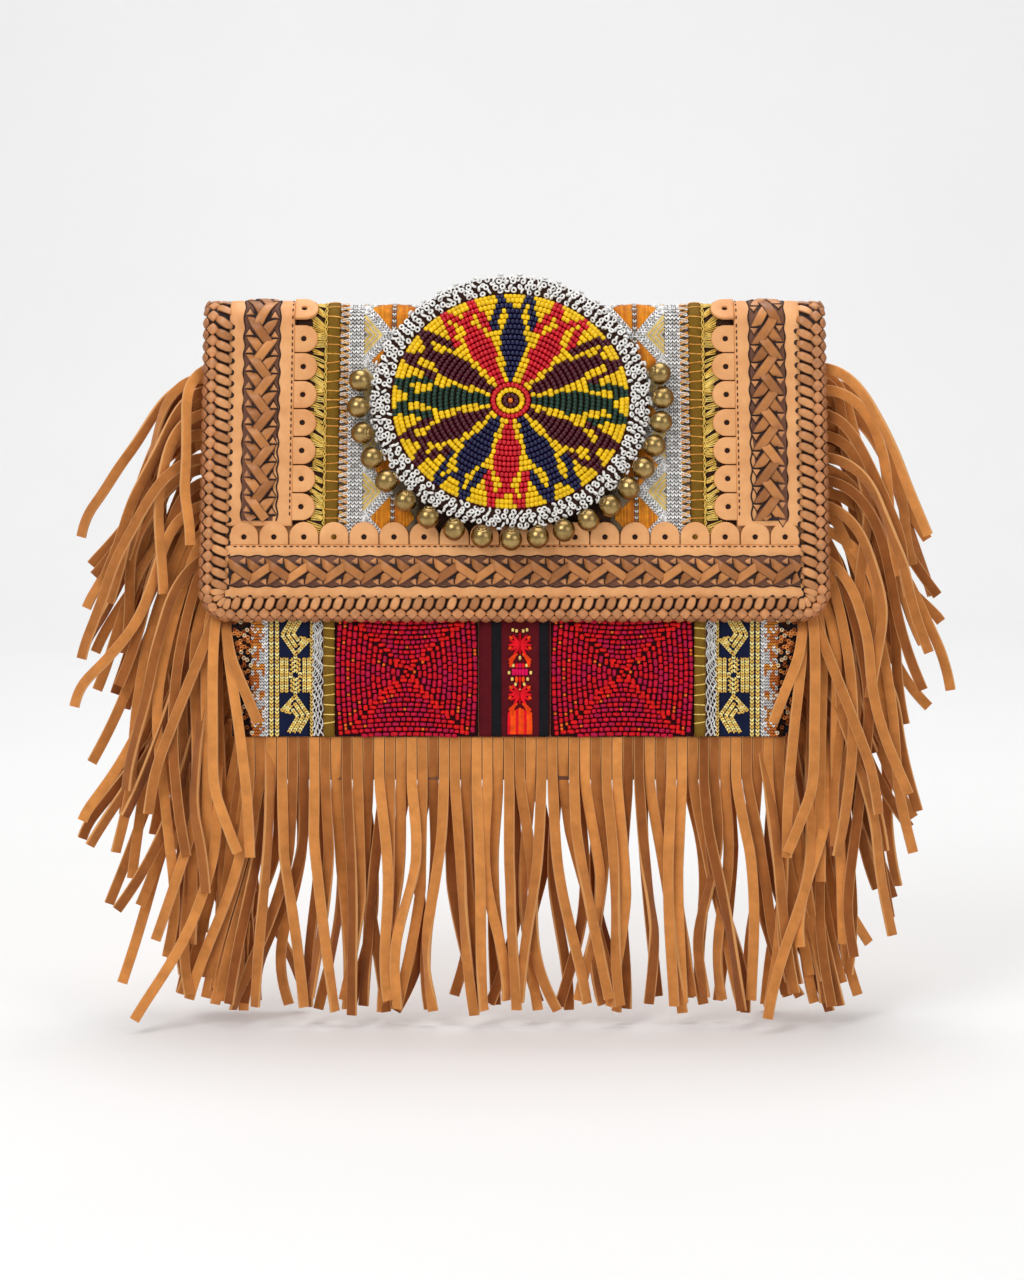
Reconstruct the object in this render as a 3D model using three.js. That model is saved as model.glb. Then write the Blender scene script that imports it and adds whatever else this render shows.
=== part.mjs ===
// A fringed folk clutch: a tan leather flap folded over a flat pouch, with laced edges, plaited trims,
// woven and beaded textiles, a beaded rosette ringed with brass bells, and suede fringe on three sides.
// Millimetres, +Z up, the front towards -Y, the origin on the crest of the top fold.
import * as THREE from 'three';

// Driving dimensions: the flap and the pouch
const FLAP_WIDTH = 300;
const FLAP_LENGTH = 153.5;
const FLAP_FLARE_TOP = 0.98;
const FLAP_FLARE_BOTTOM = 1.003;
const CORNER_RADIUS = 14;
const LEATHER = 2.2;
const FOLD_RADIUS = 9;
const LEAN_DEG = 6;
const CROWN = 5;
const CROWN_RUN = 72;
const POUCH_BOTTOM = -204.3;
const BACK_WIDTH_BOTTOM = 282;
const BACK_CORNER_RADIUS = 6;
const PANEL_WIDTH = 272;
const PANEL_TOP = 20;
const PANEL_DROP = 4;
const PANEL_LEATHER = 2;
const GUSSET_INSIDE = 132;
const GUSSET_TOP = -27;
const GUSSET_LEATHER = 2;
const GAP = 0.3;

// Layers on the flap, as heights above its leather
const CLOTH_TOP = 1.3;
const BAND_BASE = 1.6;
const BAND_TOP = 3.2;
const BRAID_BASE = 3.7;

// Trims along the flap's edges
const TRIM_OVERLAP_DEG = -42;
const LACING_WIDTH = 12.5;
const LACING_TOP = 5.2;
const LACING_WRAP = 1.6;
const BAND_EDGE = 13;
const SCALLOP_TIP = 96;
const SCALLOP_NOTCH = 107;
const SCALLOP_HOLE = 2.6;
const SIDE_SCALLOPS = { count: 7, from: 13, to: 106.8 };
const BOTTOM_SCALLOPS = { count: 19, tip: 107.4, notch: 118.3 };
const SIDE_BRAID = { centre: 122.8, width: 17, ribs: 13, end: 106.4 };
const BOTTOM_BRAID = { centre: 131.4, width: 14.2, ribs: 30, halfLength: 133 };

// The rosette, its beaded edging and its bells
const ROSETTE = { down: 51.3, standOff: 6, tiltDeg: 12, radius: 56.3, oval: 0.953, thickness: 5.6 };
const EDGING = { inside: 56.7, outside: 66.5, rim: 1.7, thickness: 3.4 };
const RING_SIDES = 30;
const BELL = { radius: 5.4, count: 20, lift: 3.5 };
const BELL_RING = { lowest: 9, fromDeg: 171.5, lowestDeg: 270.2, toDeg: 371.5 };

// Suede fringe, cut as slit strips that share one head
const STRIP_WIDTH = 5;
const STRIP_THICKNESS = 1.8;
const BOTTOM_FRINGE = { count: 50, pitch: 5.2, head: 4.7, length: 126, rings: [14, 50, 126] };
const SIDE_ROOT = 138;
const SIDE_HEAD = 3.7;
const SIDE_RINGS = [14, 36, 70, 138];
const BOTTOM_LAYERS = [-4.5, 0, 4.5];
const BOTTOM_SWAY = { scatter: 5, flare: 9, twistDeg: 34 };
const SIDE_FLICK_DEG = 9;

// The two rows of a side fringe: the outer one fans out, and its head turns under the pouch's corner
// and runs up again as the head of the inner one, which hangs steeply behind. Each hang table gives,
// by share of the seam from its top, the first and last heading below the horizontal, the length of
// the bend, how far the tip comes forward, and the strip's length
const OUTER_FRINGE = {
  count: 33,
  seam: { top: -27, bottom: -202.5, topY: -1, bottomY: -9 },
  layers: [-8.4, 1.2, -3.6, 6, -6, 3.6, -1.2, 8.4],
  scatterDeg: 8,
  hang: [
    { share: 0, startDeg: -12, endDeg: 72, bend: 25, forward: 6, length: 112 },
    { share: 0.35, startDeg: -4, endDeg: 72, bend: 25, forward: 10, length: 128 },
    { share: 0.7, startDeg: 6, endDeg: 73, bend: 24, forward: 16, length: 138 },
    { share: 0.84, startDeg: 20, endDeg: 75, bend: 22, forward: 19, length: 150 },
    { share: 1, startDeg: 70, endDeg: 90, bend: 16, forward: 24, length: 138 },
  ],
};
const INNER_FRINGE = {
  count: 11,
  seam: { top: -125, bottom: -202.5, topY: 5.4, bottomY: 4.6 },
  layers: [-1.3, 1.3],
  scatterDeg: 2,
  hang: [
    { share: 0, startDeg: -4, endDeg: 80, bend: 26, forward: -10, length: 140 },
    { share: 0.5, startDeg: 20, endDeg: 81, bend: 24, forward: -9, length: 148 },
    { share: 1, startDeg: 66, endDeg: 92, bend: 16, forward: -6, length: 137 },
  ],
};

const FINISHES = {
  leather: { color: 0xd59a5f, roughness: 0.55, metalness: 0 },
  braid: { color: 0xa86a38, roughness: 0.5, metalness: 0 },
  suede: { color: 0xb5702f, roughness: 0.9, metalness: 0 },
  goldLace: { color: 0xd8b24a, roughness: 0.35, metalness: 0.6 },
  olive: { color: 0x7d6320, roughness: 0.7, metalness: 0 },
  silver: { color: 0xc9c6bf, roughness: 0.4, metalness: 0.5 },
  zigzag: { color: 0xe4dfd2, roughness: 0.7, metalness: 0 },
  darkCloth: { color: 0x3c1a18, roughness: 0.9, metalness: 0 },
  yellowBeads: { color: 0xf2bd0c, roughness: 0.25, metalness: 0 },
  whiteBeads: { color: 0xf4f2ee, roughness: 0.3, metalness: 0 },
  brass: { color: 0x9a7a45, roughness: 0.3, metalness: 1 },
  woven: { color: 0x6a0f1c, roughness: 0.8, metalness: 0 },
  redBeads: { color: 0xc40f24, roughness: 0.35, metalness: 0 },
  goldNavy: { color: 0xb99545, roughness: 0.5, metalness: 0.4 },
  copper: { color: 0xa9622c, roughness: 0.4, metalness: 0.6 },
};

const radians = THREE.MathUtils.degToRad;
const lerp = THREE.MathUtils.lerp;
const foldLength = (degrees) => FOLD_RADIUS * radians(degrees);
const HALF_FLAP = FLAP_WIDTH / 2;
const HALF_PANEL = PANEL_WIDTH / 2;
const LEAN = radians(LEAN_DEG);
const BACK_START = foldLength(-90);
const FRONT_START = foldLength(90 - LEAN_DEG);
const TRIM_START = foldLength(TRIM_OVERLAP_DEG);
const BACK_END = BACK_START + FOLD_RADIUS + POUCH_BOTTOM;
const PANEL_END = downAt(POUCH_BOTTOM);
const SIDES = [
  { word: 'left', sign: -1, salt: 50 },
  { word: 'right', sign: 1, salt: 240 },
];

// Every layer bends along the same guide lines, so stacked layers stay parallel
const ACROSS_LINES = [-100, -50, 0, 50, 100];
const FOLD_LINES = [-90, -66, TRIM_OVERLAP_DEG, -21, 0, 21, 42, 63, 90 - LEAN_DEG].map(foldLength);
const CROWN_LINES = [0.33, 0.67, 1].map((share) => FRONT_START + share * CROWN_RUN);
const DOWN_LINES = [...FOLD_LINES, ...CROWN_LINES];

// A repeatable scatter between -1 and 1
function wobble(index, salt) {
  const value = Math.sin(index * 12.9898 + salt * 78.233) * 43758.5453;
  return 2 * (value - Math.floor(value)) - 1;
}

// The flap's surface. `across` runs to the right, `down` along the leather from the crest of the fold
// (negative behind it), and `height` out from the leather.
function flare(down) {
  const share = THREE.MathUtils.clamp(down / FLAP_LENGTH, 0, 1);
  return lerp(FLAP_FLARE_TOP, FLAP_FLARE_BOTTOM, share);
}

function crown(x, down) {
  const share = THREE.MathUtils.smoothstep(down, FRONT_START, FRONT_START + CROWN_RUN);
  return CROWN * share * (1 - (x / HALF_FLAP) ** 2);
}

function onFoldedSheet(x, down, height) {
  if (down < BACK_START) {
    return new THREE.Vector3(x, FOLD_RADIUS + height, down - BACK_START - FOLD_RADIUS);
  }
  if (down < FRONT_START) {
    const turn = down / FOLD_RADIUS;
    const radius = FOLD_RADIUS + height;
    return new THREE.Vector3(x, -radius * Math.sin(turn), radius * Math.cos(turn) - FOLD_RADIUS);
  }
  const run = down - FRONT_START;
  const out = FOLD_RADIUS + height;
  const y = -out * Math.cos(LEAN) - run * Math.sin(LEAN);
  const z = out * Math.sin(LEAN) - run * Math.cos(LEAN) - FOLD_RADIUS;
  return new THREE.Vector3(x, y, z);
}

function onFlap(across, down, height) {
  const x = across * flare(down);
  return onFoldedSheet(x, down, height + crown(x, down));
}

function onPanel(across, down, height) {
  return onFoldedSheet(across, down, height + crown(across, down) - PANEL_DROP);
}

// The down coordinate of the front plane at a world height
function downAt(z) {
  return FRONT_START - (z + FOLD_RADIUS * (1 - Math.sin(LEAN))) / Math.cos(LEAN);
}

// A closed body from points and triangles, turned so that its faces point out
function body(points, triangles) {
  let volume = 0;
  for (const [a, b, c] of triangles) {
    volume += points[a].dot(new THREE.Vector3().crossVectors(points[b], points[c]));
  }
  const indices = triangles.flatMap(([a, b, c]) => (volume < 0 ? [a, c, b] : [a, b, c]));
  const geometry = new THREE.BufferGeometry().setFromPoints(points);
  geometry.setIndex(indices);
  geometry.computeVertexNormals();
  return geometry;
}

function toVectors(outline) {
  return outline.map(([across, down]) => new THREE.Vector2(across, down));
}

// Flat cells {outline, holes}, thickened from `inner` to `outer` and laid on a surface.
// Walls rise only along edges that belong to a single cell.
function plate(cells, place, inner, outer) {
  const flat = [];
  const indexByKey = new Map();
  const faces = [];
  const vertexIndex = ({ x, y }) => {
    const key = `${x.toFixed(3)} ${y.toFixed(3)}`;
    if (!indexByKey.has(key)) {
      indexByKey.set(key, flat.length);
      flat.push([x, y]);
    }
    return indexByKey.get(key);
  };
  for (const { outline, holes = [] } of cells) {
    const contour = toVectors(outline);
    const rims = holes.map(toVectors);
    const corners = [contour, ...rims].flat();
    for (const face of THREE.ShapeUtils.triangulateShape(contour, rims)) {
      const [a, b, c] = face.map((corner) => corners[corner]);
      const turn = (b.x - a.x) * (c.y - a.y) - (b.y - a.y) * (c.x - a.x);
      const ordered = turn < 0 ? [a, b, c] : [a, c, b];
      faces.push(ordered.map(vertexIndex));
    }
  }
  const edges = new Set(faces.flatMap(([a, b, c]) => [`${a} ${b}`, `${b} ${c}`, `${c} ${a}`]));
  const lower = flat.length;
  const triangles = [];
  for (const [a, b, c] of faces) {
    triangles.push([a, b, c], [a + lower, c + lower, b + lower]);
    for (const [from, to] of [[a, b], [b, c], [c, a]]) {
      if (!edges.has(`${to} ${from}`)) {
        triangles.push([to, from, from + lower], [to, from + lower, to + lower]);
      }
    }
  }
  const layer = (height) => flat.map(([across, down]) => place(across, down, height));
  return body([...layer(outer), ...layer(inner)], triangles);
}

// A bar through equal rings of points, with its two ends closed
function loft(section, rings) {
  const size = section.length;
  const triangles = [];
  for (let r = 0; r + 1 < rings.length; r += 1) {
    for (let k = 0; k < size; k += 1) {
      const here = r * size + k;
      const next = r * size + ((k + 1) % size);
      triangles.push([here, next, next + size], [here, next + size, here + size]);
    }
  }
  const last = (rings.length - 1) * size;
  const outline = toVectors(section);
  const clockwise = THREE.ShapeUtils.isClockWise(outline);
  for (const [a, b, c] of THREE.ShapeUtils.triangulateShape(outline, [])) {
    const turn = (outline[b].x - outline[a].x) * (outline[c].y - outline[a].y)
      - (outline[b].y - outline[a].y) * (outline[c].x - outline[a].x);
    const [p, q] = (turn < 0) === clockwise ? [c, b] : [b, c];
    triangles.push([a, p, q], [a + last, q + last, p + last]);
  }
  return body(rings.flat(), triangles);
}

// The guide lines between two places, with both ends
function linesBetween(lines, from, to, margin = 1.5) {
  return [from, ...lines.filter((line) => line > from + margin && line < to - margin), to];
}

// Cells of a sheet between two edges, split along the guide lines
function sheetCells(downs, leftEdge, rightEdge) {
  const lefts = downs.map(leftEdge);
  const rights = downs.map(rightEdge);
  const inner = linesBetween(ACROSS_LINES, Math.max(...lefts), Math.min(...rights), 8).slice(1, -1);
  const rows = downs.map((down, k) => [lefts[k], ...inner, rights[k]].map((across) => [across, down]));
  const cells = [];
  for (let r = 0; r + 1 < rows.length; r += 1) {
    for (let c = 0; c + 1 < rows[r].length; c += 1) {
      cells.push({ outline: [rows[r][c], rows[r][c + 1], rows[r + 1][c + 1], rows[r + 1][c]] });
    }
  }
  return cells;
}

// How much a rounded corner takes off, `into` the corner
function rounding(into, radius) {
  const depth = THREE.MathUtils.clamp(into, 0, radius);
  return radius - Math.sqrt(radius ** 2 - depth ** 2);
}

function cornerLines(end, radius, sign) {
  return [1, 0.5, 0.15, 0].map((share) => end - sign * share * radius);
}

// The body of the bag
function flapAndBack() {
  const halfWidth = (down) => {
    if (down < BACK_START) {
      const share = (down - BACK_START) / (BACK_END - BACK_START);
      const width = lerp(FLAP_WIDTH, BACK_WIDTH_BOTTOM, share) / 2;
      return width - rounding(BACK_END + BACK_CORNER_RADIUS - down, BACK_CORNER_RADIUS);
    }
    return HALF_FLAP - rounding(down - FLAP_LENGTH + CORNER_RADIUS, CORNER_RADIUS);
  };
  const downs = [
    ...cornerLines(BACK_END, BACK_CORNER_RADIUS, -1).reverse(),
    ...DOWN_LINES,
    ...cornerLines(FLAP_LENGTH, CORNER_RADIUS, 1),
  ];
  return plate(sheetCells(downs, (down) => -halfWidth(down), halfWidth), onFlap, -LEATHER, 0);
}

function frontPanel() {
  const downs = linesBetween(DOWN_LINES, PANEL_TOP, PANEL_END);
  return plate(sheetCells(downs, () => -HALF_PANEL, () => HALF_PANEL), onPanel, -PANEL_LEATHER, 0);
}

function panelInside(x, z) {
  return onPanel(x, downAt(z), -PANEL_LEATHER - GAP).y;
}

function gusset(sign) {
  const back = FOLD_RADIUS - LEATHER - GAP;
  const bottom = POUCH_BOTTOM + GAP;
  const heights = [GUSSET_TOP, -50, -80, bottom];
  const front = heights.map((z) => [panelInside(GUSSET_INSIDE + GUSSET_LEATHER, z), z]);
  const outline = [[back, GUSSET_TOP], ...front, [back, bottom]];
  const place = (y, z, height) => new THREE.Vector3(sign * (GUSSET_INSIDE + height), y, z);
  return plate([{ outline }], place, 0, GUSSET_LEATHER);
}

function basePanel() {
  const back = FOLD_RADIUS - LEATHER - GAP;
  const reach = GUSSET_INSIDE - GAP;
  const bottom = POUCH_BOTTOM + GAP;
  const columns = linesBetween(ACROSS_LINES, -reach, reach);
  const frontAt = (x) => panelInside(x, bottom + PANEL_LEATHER) + GAP;
  const cells = columns.slice(1).map((right, k) => {
    const left = columns[k];
    return { outline: [[left, frontAt(left)], [right, frontAt(right)], [right, back], [left, back]] };
  });
  return plate(cells, (x, y, height) => new THREE.Vector3(x, y, bottom + height), 0, PANEL_LEATHER);
}

// Cloth and ribbons
function flapRibbon(left, right) {
  const downs = linesBetween(DOWN_LINES, TRIM_START, BOTTOM_SCALLOPS.notch);
  return plate(sheetCells(downs, () => left, () => right), onFlap, GAP, CLOTH_TOP);
}

// The pouch's cloth starts under the flap and ends just above the bottom seam
function panelRibbon(left, right) {
  const downs = [FRONT_START + CROWN_RUN, PANEL_END - 1];
  return plate(sheetCells(downs, () => left, () => right), onPanel, GAP, CLOTH_TOP);
}

// One scallop: a straight-sided tongue with a round end and a punched hole, in local coordinates
// where it stands from 0 to `width` along the band and its notches and tip are distances inward
function scallopRim(width, notch, tip) {
  const slit = 0.3;
  const radius = width / 2 - slit;
  const steps = 5;
  const arc = [];
  for (let k = 0; k <= steps; k += 1) {
    const angle = (Math.PI * k) / steps;
    arc.push([width / 2 + radius * Math.cos(angle), tip - radius + radius * Math.sin(angle)]);
  }
  return [[width, notch], ...arc, [0, notch]];
}

function scallopHole(width, tip) {
  const sides = 6;
  return Array.from({ length: sides }, (_, k) => {
    const angle = (2 * Math.PI * k) / sides;
    const reach = SCALLOP_HOLE / 2;
    return [width / 2 + reach * Math.cos(angle), tip - width / 2 + reach * Math.sin(angle)];
  });
}

// The side bands: scallops down the front, and a plain-holed stretch bent over the fold
function sideBand(sign) {
  const { count, from, to } = SIDE_SCALLOPS;
  const pitch = (to - from) / count;
  const outerEdge = sign * (HALF_FLAP - BAND_EDGE);
  const inward = (depth) => outerEdge - sign * depth;
  const tip = HALF_FLAP - BAND_EDGE - SCALLOP_TIP;
  const notch = HALF_FLAP - BAND_EDGE - SCALLOP_NOTCH;
  const cells = Array.from({ length: count }, (_, k) => {
    const start = from + k * pitch;
    const lay = ([along, depth]) => [inward(depth), start + along];
    const outline = [[0, 0], [pitch, 0], ...scallopRim(pitch, notch, tip)].map(lay);
    return { outline, holes: [scallopHole(pitch, tip).map(lay)] };
  });
  const bentEdge = (down) => {
    const fromCentre = (((from - down) / pitch) % 1) * 2 - 1;
    return inward(notch + (tip - notch) * Math.sqrt(Math.max(0, 1 - fromCentre ** 2)));
  };
  const bent = linesBetween(FOLD_LINES, TRIM_START, from);
  const left = sign < 0 ? () => outerEdge : bentEdge;
  const right = sign < 0 ? bentEdge : () => outerEdge;
  return plate([...cells, ...sheetCells(bent, left, right)], onFlap, BAND_BASE, BAND_TOP);
}

function bottomBand() {
  const { count, tip, notch } = BOTTOM_SCALLOPS;
  const lowerEdge = FLAP_LENGTH - BAND_EDGE;
  const half = HALF_FLAP - BAND_EDGE;
  const pitch = (2 * half) / count;
  const cells = Array.from({ length: count }, (_, k) => {
    const lay = ([along, depth]) => [k * pitch - half + along, lowerEdge - depth];
    const rim = scallopRim(pitch, lowerEdge - notch, lowerEdge - tip);
    const hole = scallopHole(pitch, lowerEdge - tip);
    return { outline: [[0, 0], [pitch, 0], ...rim].map(lay), holes: [hole.map(lay)] };
  });
  return plate(cells, onFlap, BAND_BASE, BAND_TOP);
}

// A flat plait: ribs that meet in a V along the middle, with notched edges.
// place(side, along, height) lays it on the leather and `point` is the way the V points.
function braid(place, from, to, { width, ribs }, point) {
  const stations = 2 * ribs;
  const slant = point * width * 0.3;
  const stationAt = (k) => lerp(from, to, k / stations);
  const ringAt = (k) => {
    const crest = k % 2;
    const half = width / 2 - (crest ? 0 : 0.8);
    const edge = crest ? 1.9 : 1.2;
    const ridge = crest ? 2.8 : 2.1;
    const along = stationAt(k);
    const middle = THREE.MathUtils.clamp(along + slant, from, to);
    const foot = [[-half, 0, along], [half, 0, along]];
    const top = [[half, edge, along], [0, ridge, middle], [-half, edge, along]];
    return [...foot, ...top].map(([side, height, at]) => place(side, at, BRAID_BASE + height));
  };
  const section = [[-1, 0], [1, 0], [1, 1], [0, 2], [-1, 1]];
  return loft(section, Array.from({ length: stations + 1 }, (_, k) => ringAt(k)));
}

function sideBraid(sign) {
  const place = (side, along, height) => onFlap(sign * SIDE_BRAID.centre + side, along, height);
  return braid(place, TRIM_START, SIDE_BRAID.end, SIDE_BRAID, -sign);
}

function bottomBraid() {
  const { centre, halfLength } = BOTTOM_BRAID;
  const place = (side, along, height) => onFlap(along, centre + side, height);
  return braid(place, -halfLength, halfLength, BOTTOM_BRAID, 1);
}

// Thonging laced round the flap's edge: an angle of leather over the face and the cut edge
function lacing(stations) {
  const lip = -LEATHER - 0.2;
  const section = [
    [LACING_WIDTH, GAP],
    [LACING_WIDTH, LACING_TOP - 1],
    [LACING_WIDTH / 2, LACING_TOP],
    [-LACING_WRAP, LACING_TOP - 1.2],
    [-LACING_WRAP, lip],
    [-GAP, lip],
    [-GAP, GAP],
  ];
  const rings = stations.map(({ across, down, inwardAcross, inwardDown }) => section.map(
    ([inset, height]) => onFlap(across + inset * inwardAcross, down + inset * inwardDown, height),
  ));
  return loft(section, rings);
}

function sideLacing(sign) {
  const end = FLAP_LENGTH - CORNER_RADIUS - GAP;
  const downs = linesBetween(DOWN_LINES, TRIM_START, end);
  const across = sign * HALF_FLAP;
  return lacing(downs.map((down) => ({ across, down, inwardAcross: -sign, inwardDown: 0 })));
}

function bottomLacing() {
  const reach = HALF_FLAP - CORNER_RADIUS;
  const turns = [0, 22.5, 45, 67.5, 90];
  const corner = (sign, degrees) => ({
    across: sign * (reach + CORNER_RADIUS * Math.cos(radians(degrees))),
    down: FLAP_LENGTH - CORNER_RADIUS + CORNER_RADIUS * Math.sin(radians(degrees)),
    inwardAcross: -sign * Math.cos(radians(degrees)),
    inwardDown: -Math.sin(radians(degrees)),
  });
  const down = FLAP_LENGTH;
  const straight = ACROSS_LINES.map((across) => ({ across, down, inwardAcross: 0, inwardDown: -1 }));
  return lacing([
    ...turns.map((degrees) => corner(-1, degrees)),
    ...straight,
    ...turns.map((degrees) => corner(1, 90 - degrees)),
  ]);
}

// The rosette stands on a plane of its own, tilted off the flap, and carries its edging and bells
function turnedRing(profile, segments) {
  const points = profile.map(([radius, height]) => new THREE.Vector2(radius, height));
  const geometry = new THREE.LatheGeometry(points, segments);
  geometry.rotateX(Math.PI / 2);
  geometry.scale(1, ROSETTE.oval, 1);
  return geometry;
}

function rosetteDisc() {
  const { radius, thickness } = ROSETTE;
  return turnedRing([
    [0, 0],
    [radius, 0],
    [radius, thickness * 0.55],
    [radius * 0.93, thickness * 0.86],
    [radius * 0.5, thickness],
    [0, thickness],
  ], RING_SIDES);
}

function rosetteEdging() {
  const { inside, outside, rim, thickness } = EDGING;
  const middle = (inside + outside) / 2;
  return turnedRing([
    [inside, 0.2],
    [outside, rim],
    [middle, thickness],
    [inside, thickness * 0.8],
    [inside, 0.2],
  ], RING_SIDES);
}

function bellAngle(index) {
  const { lowest, fromDeg, lowestDeg, toDeg } = BELL_RING;
  if (index < lowest) {
    return radians(lerp(fromDeg, lowestDeg, index / lowest));
  }
  return radians(lerp(lowestDeg, toDeg, (index - lowest) / (BELL.count - 1 - lowest)));
}

function bellPosition(index) {
  const { radius, lift } = BELL;
  const angle = bellAngle(index);
  const clear = Math.sqrt((radius + GAP / 2) ** 2 - (lift - EDGING.rim) ** 2);
  const halfWide = EDGING.outside + clear;
  const halfHigh = EDGING.outside * ROSETTE.oval + clear;
  return new THREE.Vector3(halfWide * Math.cos(angle), halfHigh * Math.sin(angle), lift);
}

// Fringe: flat cells of a head and its slit strips; place() then hangs each strip
function fringeCells({ count, pitch, head, rings, from = 0 }) {
  const inset = 0.3;
  const cells = [];
  for (let k = 0; k < count; k += 1) {
    const left = from + k * pitch;
    const right = left + pitch;
    cells.push({ outline: [[left, -head], [right, -head], [right, 0], [left, 0]] });
    let upper = [[left, 0], [right, 0]];
    for (const ring of rings) {
      const lower = [[left + inset, ring], [right - inset, ring]];
      cells.push({ outline: [upper[0], upper[1], lower[1], lower[0]] });
      upper = lower;
    }
  }
  return cells;
}

// Position within a strip: its number, its middle, and a signed share of its half width
function inStrip(along, { count, pitch }) {
  const index = THREE.MathUtils.clamp(Math.floor(along / pitch), 0, count - 1);
  const middle = (index + 0.5) * pitch;
  return { index, middle, side: (along - middle) / (pitch / 2) };
}

function bottomFringe() {
  const { count, pitch, head, length } = BOTTOM_FRINGE;
  const top = onPanel(HALF_PANEL, PANEL_END, -PANEL_LEATHER).z - GAP;
  const seamY = (x) => onPanel(x, PANEL_END, -PANEL_LEATHER / 2).y;
  const place = (along, down, height) => {
    const { index, middle, side } = inStrip(along, BOTTOM_FRINGE);
    const x = (down > 0 ? middle : along) - (count * pitch) / 2;
    if (down <= 0) {
      return new THREE.Vector3(x, seamY(x) - height, top - head - down);
    }
    const first = BOTTOM_FRINGE.rings[0];
    const free = Math.max(0, down - first) / (length - first);
    const twist = radians(BOTTOM_SWAY.twistDeg) * wobble(index, 3) * Math.min(1, 2 * free);
    const outward = (2 * x) / (count * pitch);
    const sway = (BOTTOM_SWAY.scatter * wobble(index, 5) + BOTTOM_SWAY.flare * outward) * free ** 1.4;
    const layer = BOTTOM_LAYERS[index % BOTTOM_LAYERS.length] * Math.min(1, down / BOTTOM_FRINGE.rings[1]);
    const reach = (side * STRIP_WIDTH) / 2;
    const fall = down * (1 + 0.035 * wobble(index, 7));
    return new THREE.Vector3(
      x + sway + reach * Math.cos(twist) + height * Math.sin(twist),
      seamY(x) + layer - height * Math.cos(twist) + reach * Math.sin(twist),
      top - head - fall,
    );
  };
  return plate(fringeCells(BOTTOM_FRINGE), place, -STRIP_THICKNESS / 2, STRIP_THICKNESS / 2);
}

function hangAt(table, share) {
  const next = Math.max(1, table.findIndex((row) => row.share >= share));
  const above = table[next - 1];
  const below = table[next];
  const mix = (share - above.share) / (below.share - above.share);
  const value = (column) => lerp(above[column], below[column], mix);
  return {
    start: radians(value('startDeg')),
    end: radians(value('endDeg')),
    bend: value('bend'),
    forward: value('forward'),
    length: value('length'),
  };
}

// Where a hanging strip has got to after `length`: how far out, how far down, and its heading
function hangingStrip({ start, end, bend, length }, down) {
  const steps = 40;
  const flick = radians(SIDE_FLICK_DEG);
  const headingAt = (at) => end + (start - end) * Math.exp(-((at / bend) ** 2))
    - flick * THREE.MathUtils.smoothstep(at / length, 0.6, 1);
  let out = 0;
  let fall = 0;
  for (let k = 0; k < steps; k += 1) {
    const heading = headingAt(((k + 0.5) * down) / steps);
    out += (Math.cos(heading) * down) / steps;
    fall += (Math.sin(heading) * down) / steps;
  }
  return { out, fall, heading: headingAt(down) };
}

const seamLength = ({ seam }) => seam.top - seam.bottom;
const rowPitch = (row) => seamLength(row) / row.count;

// Places a point of a row's strips, by its distance along the seam from the top and down the strip
function hungRow(row, sign, salt) {
  const { count, seam, layers, scatterDeg } = row;
  const pitch = rowPitch(row);
  const first = SIDE_RINGS[0];
  const last = SIDE_RINGS.at(-1);
  return (along, down, height) => {
    const { index, middle, side } = inStrip(along, { count, pitch });
    const share = middle / seamLength(row);
    const layer = layers[index % layers.length];
    const hang = hangAt(row.hang, share);
    hang.end += radians(scatterDeg) * wobble(index % layers.length, salt);
    const stretch = (hang.length / last) * (1 + 0.05 * wobble(index, salt + 2));
    const { out, fall, heading } = hangingStrip(hang, down * stretch);
    const free = Math.max(0, down - first) / (last - first);
    const slit = THREE.MathUtils.clamp(pitch * Math.cos(heading) - 0.2, 2, STRIP_WIDTH);
    const reach = (side * (down > first ? STRIP_WIDTH : slit)) / 2;
    const depth = Math.min(1, 0.45 * (down / first)) + (down > first ? 0.55 * Math.min(1, free * 5) : 0);
    return new THREE.Vector3(
      sign * (SIDE_ROOT + out - reach * Math.sin(heading)),
      lerp(seam.topY, seam.bottomY, share) + layer * depth - hang.forward * free - height,
      seam.top - middle - fall - reach * Math.cos(heading),
    );
  };
}

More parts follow.
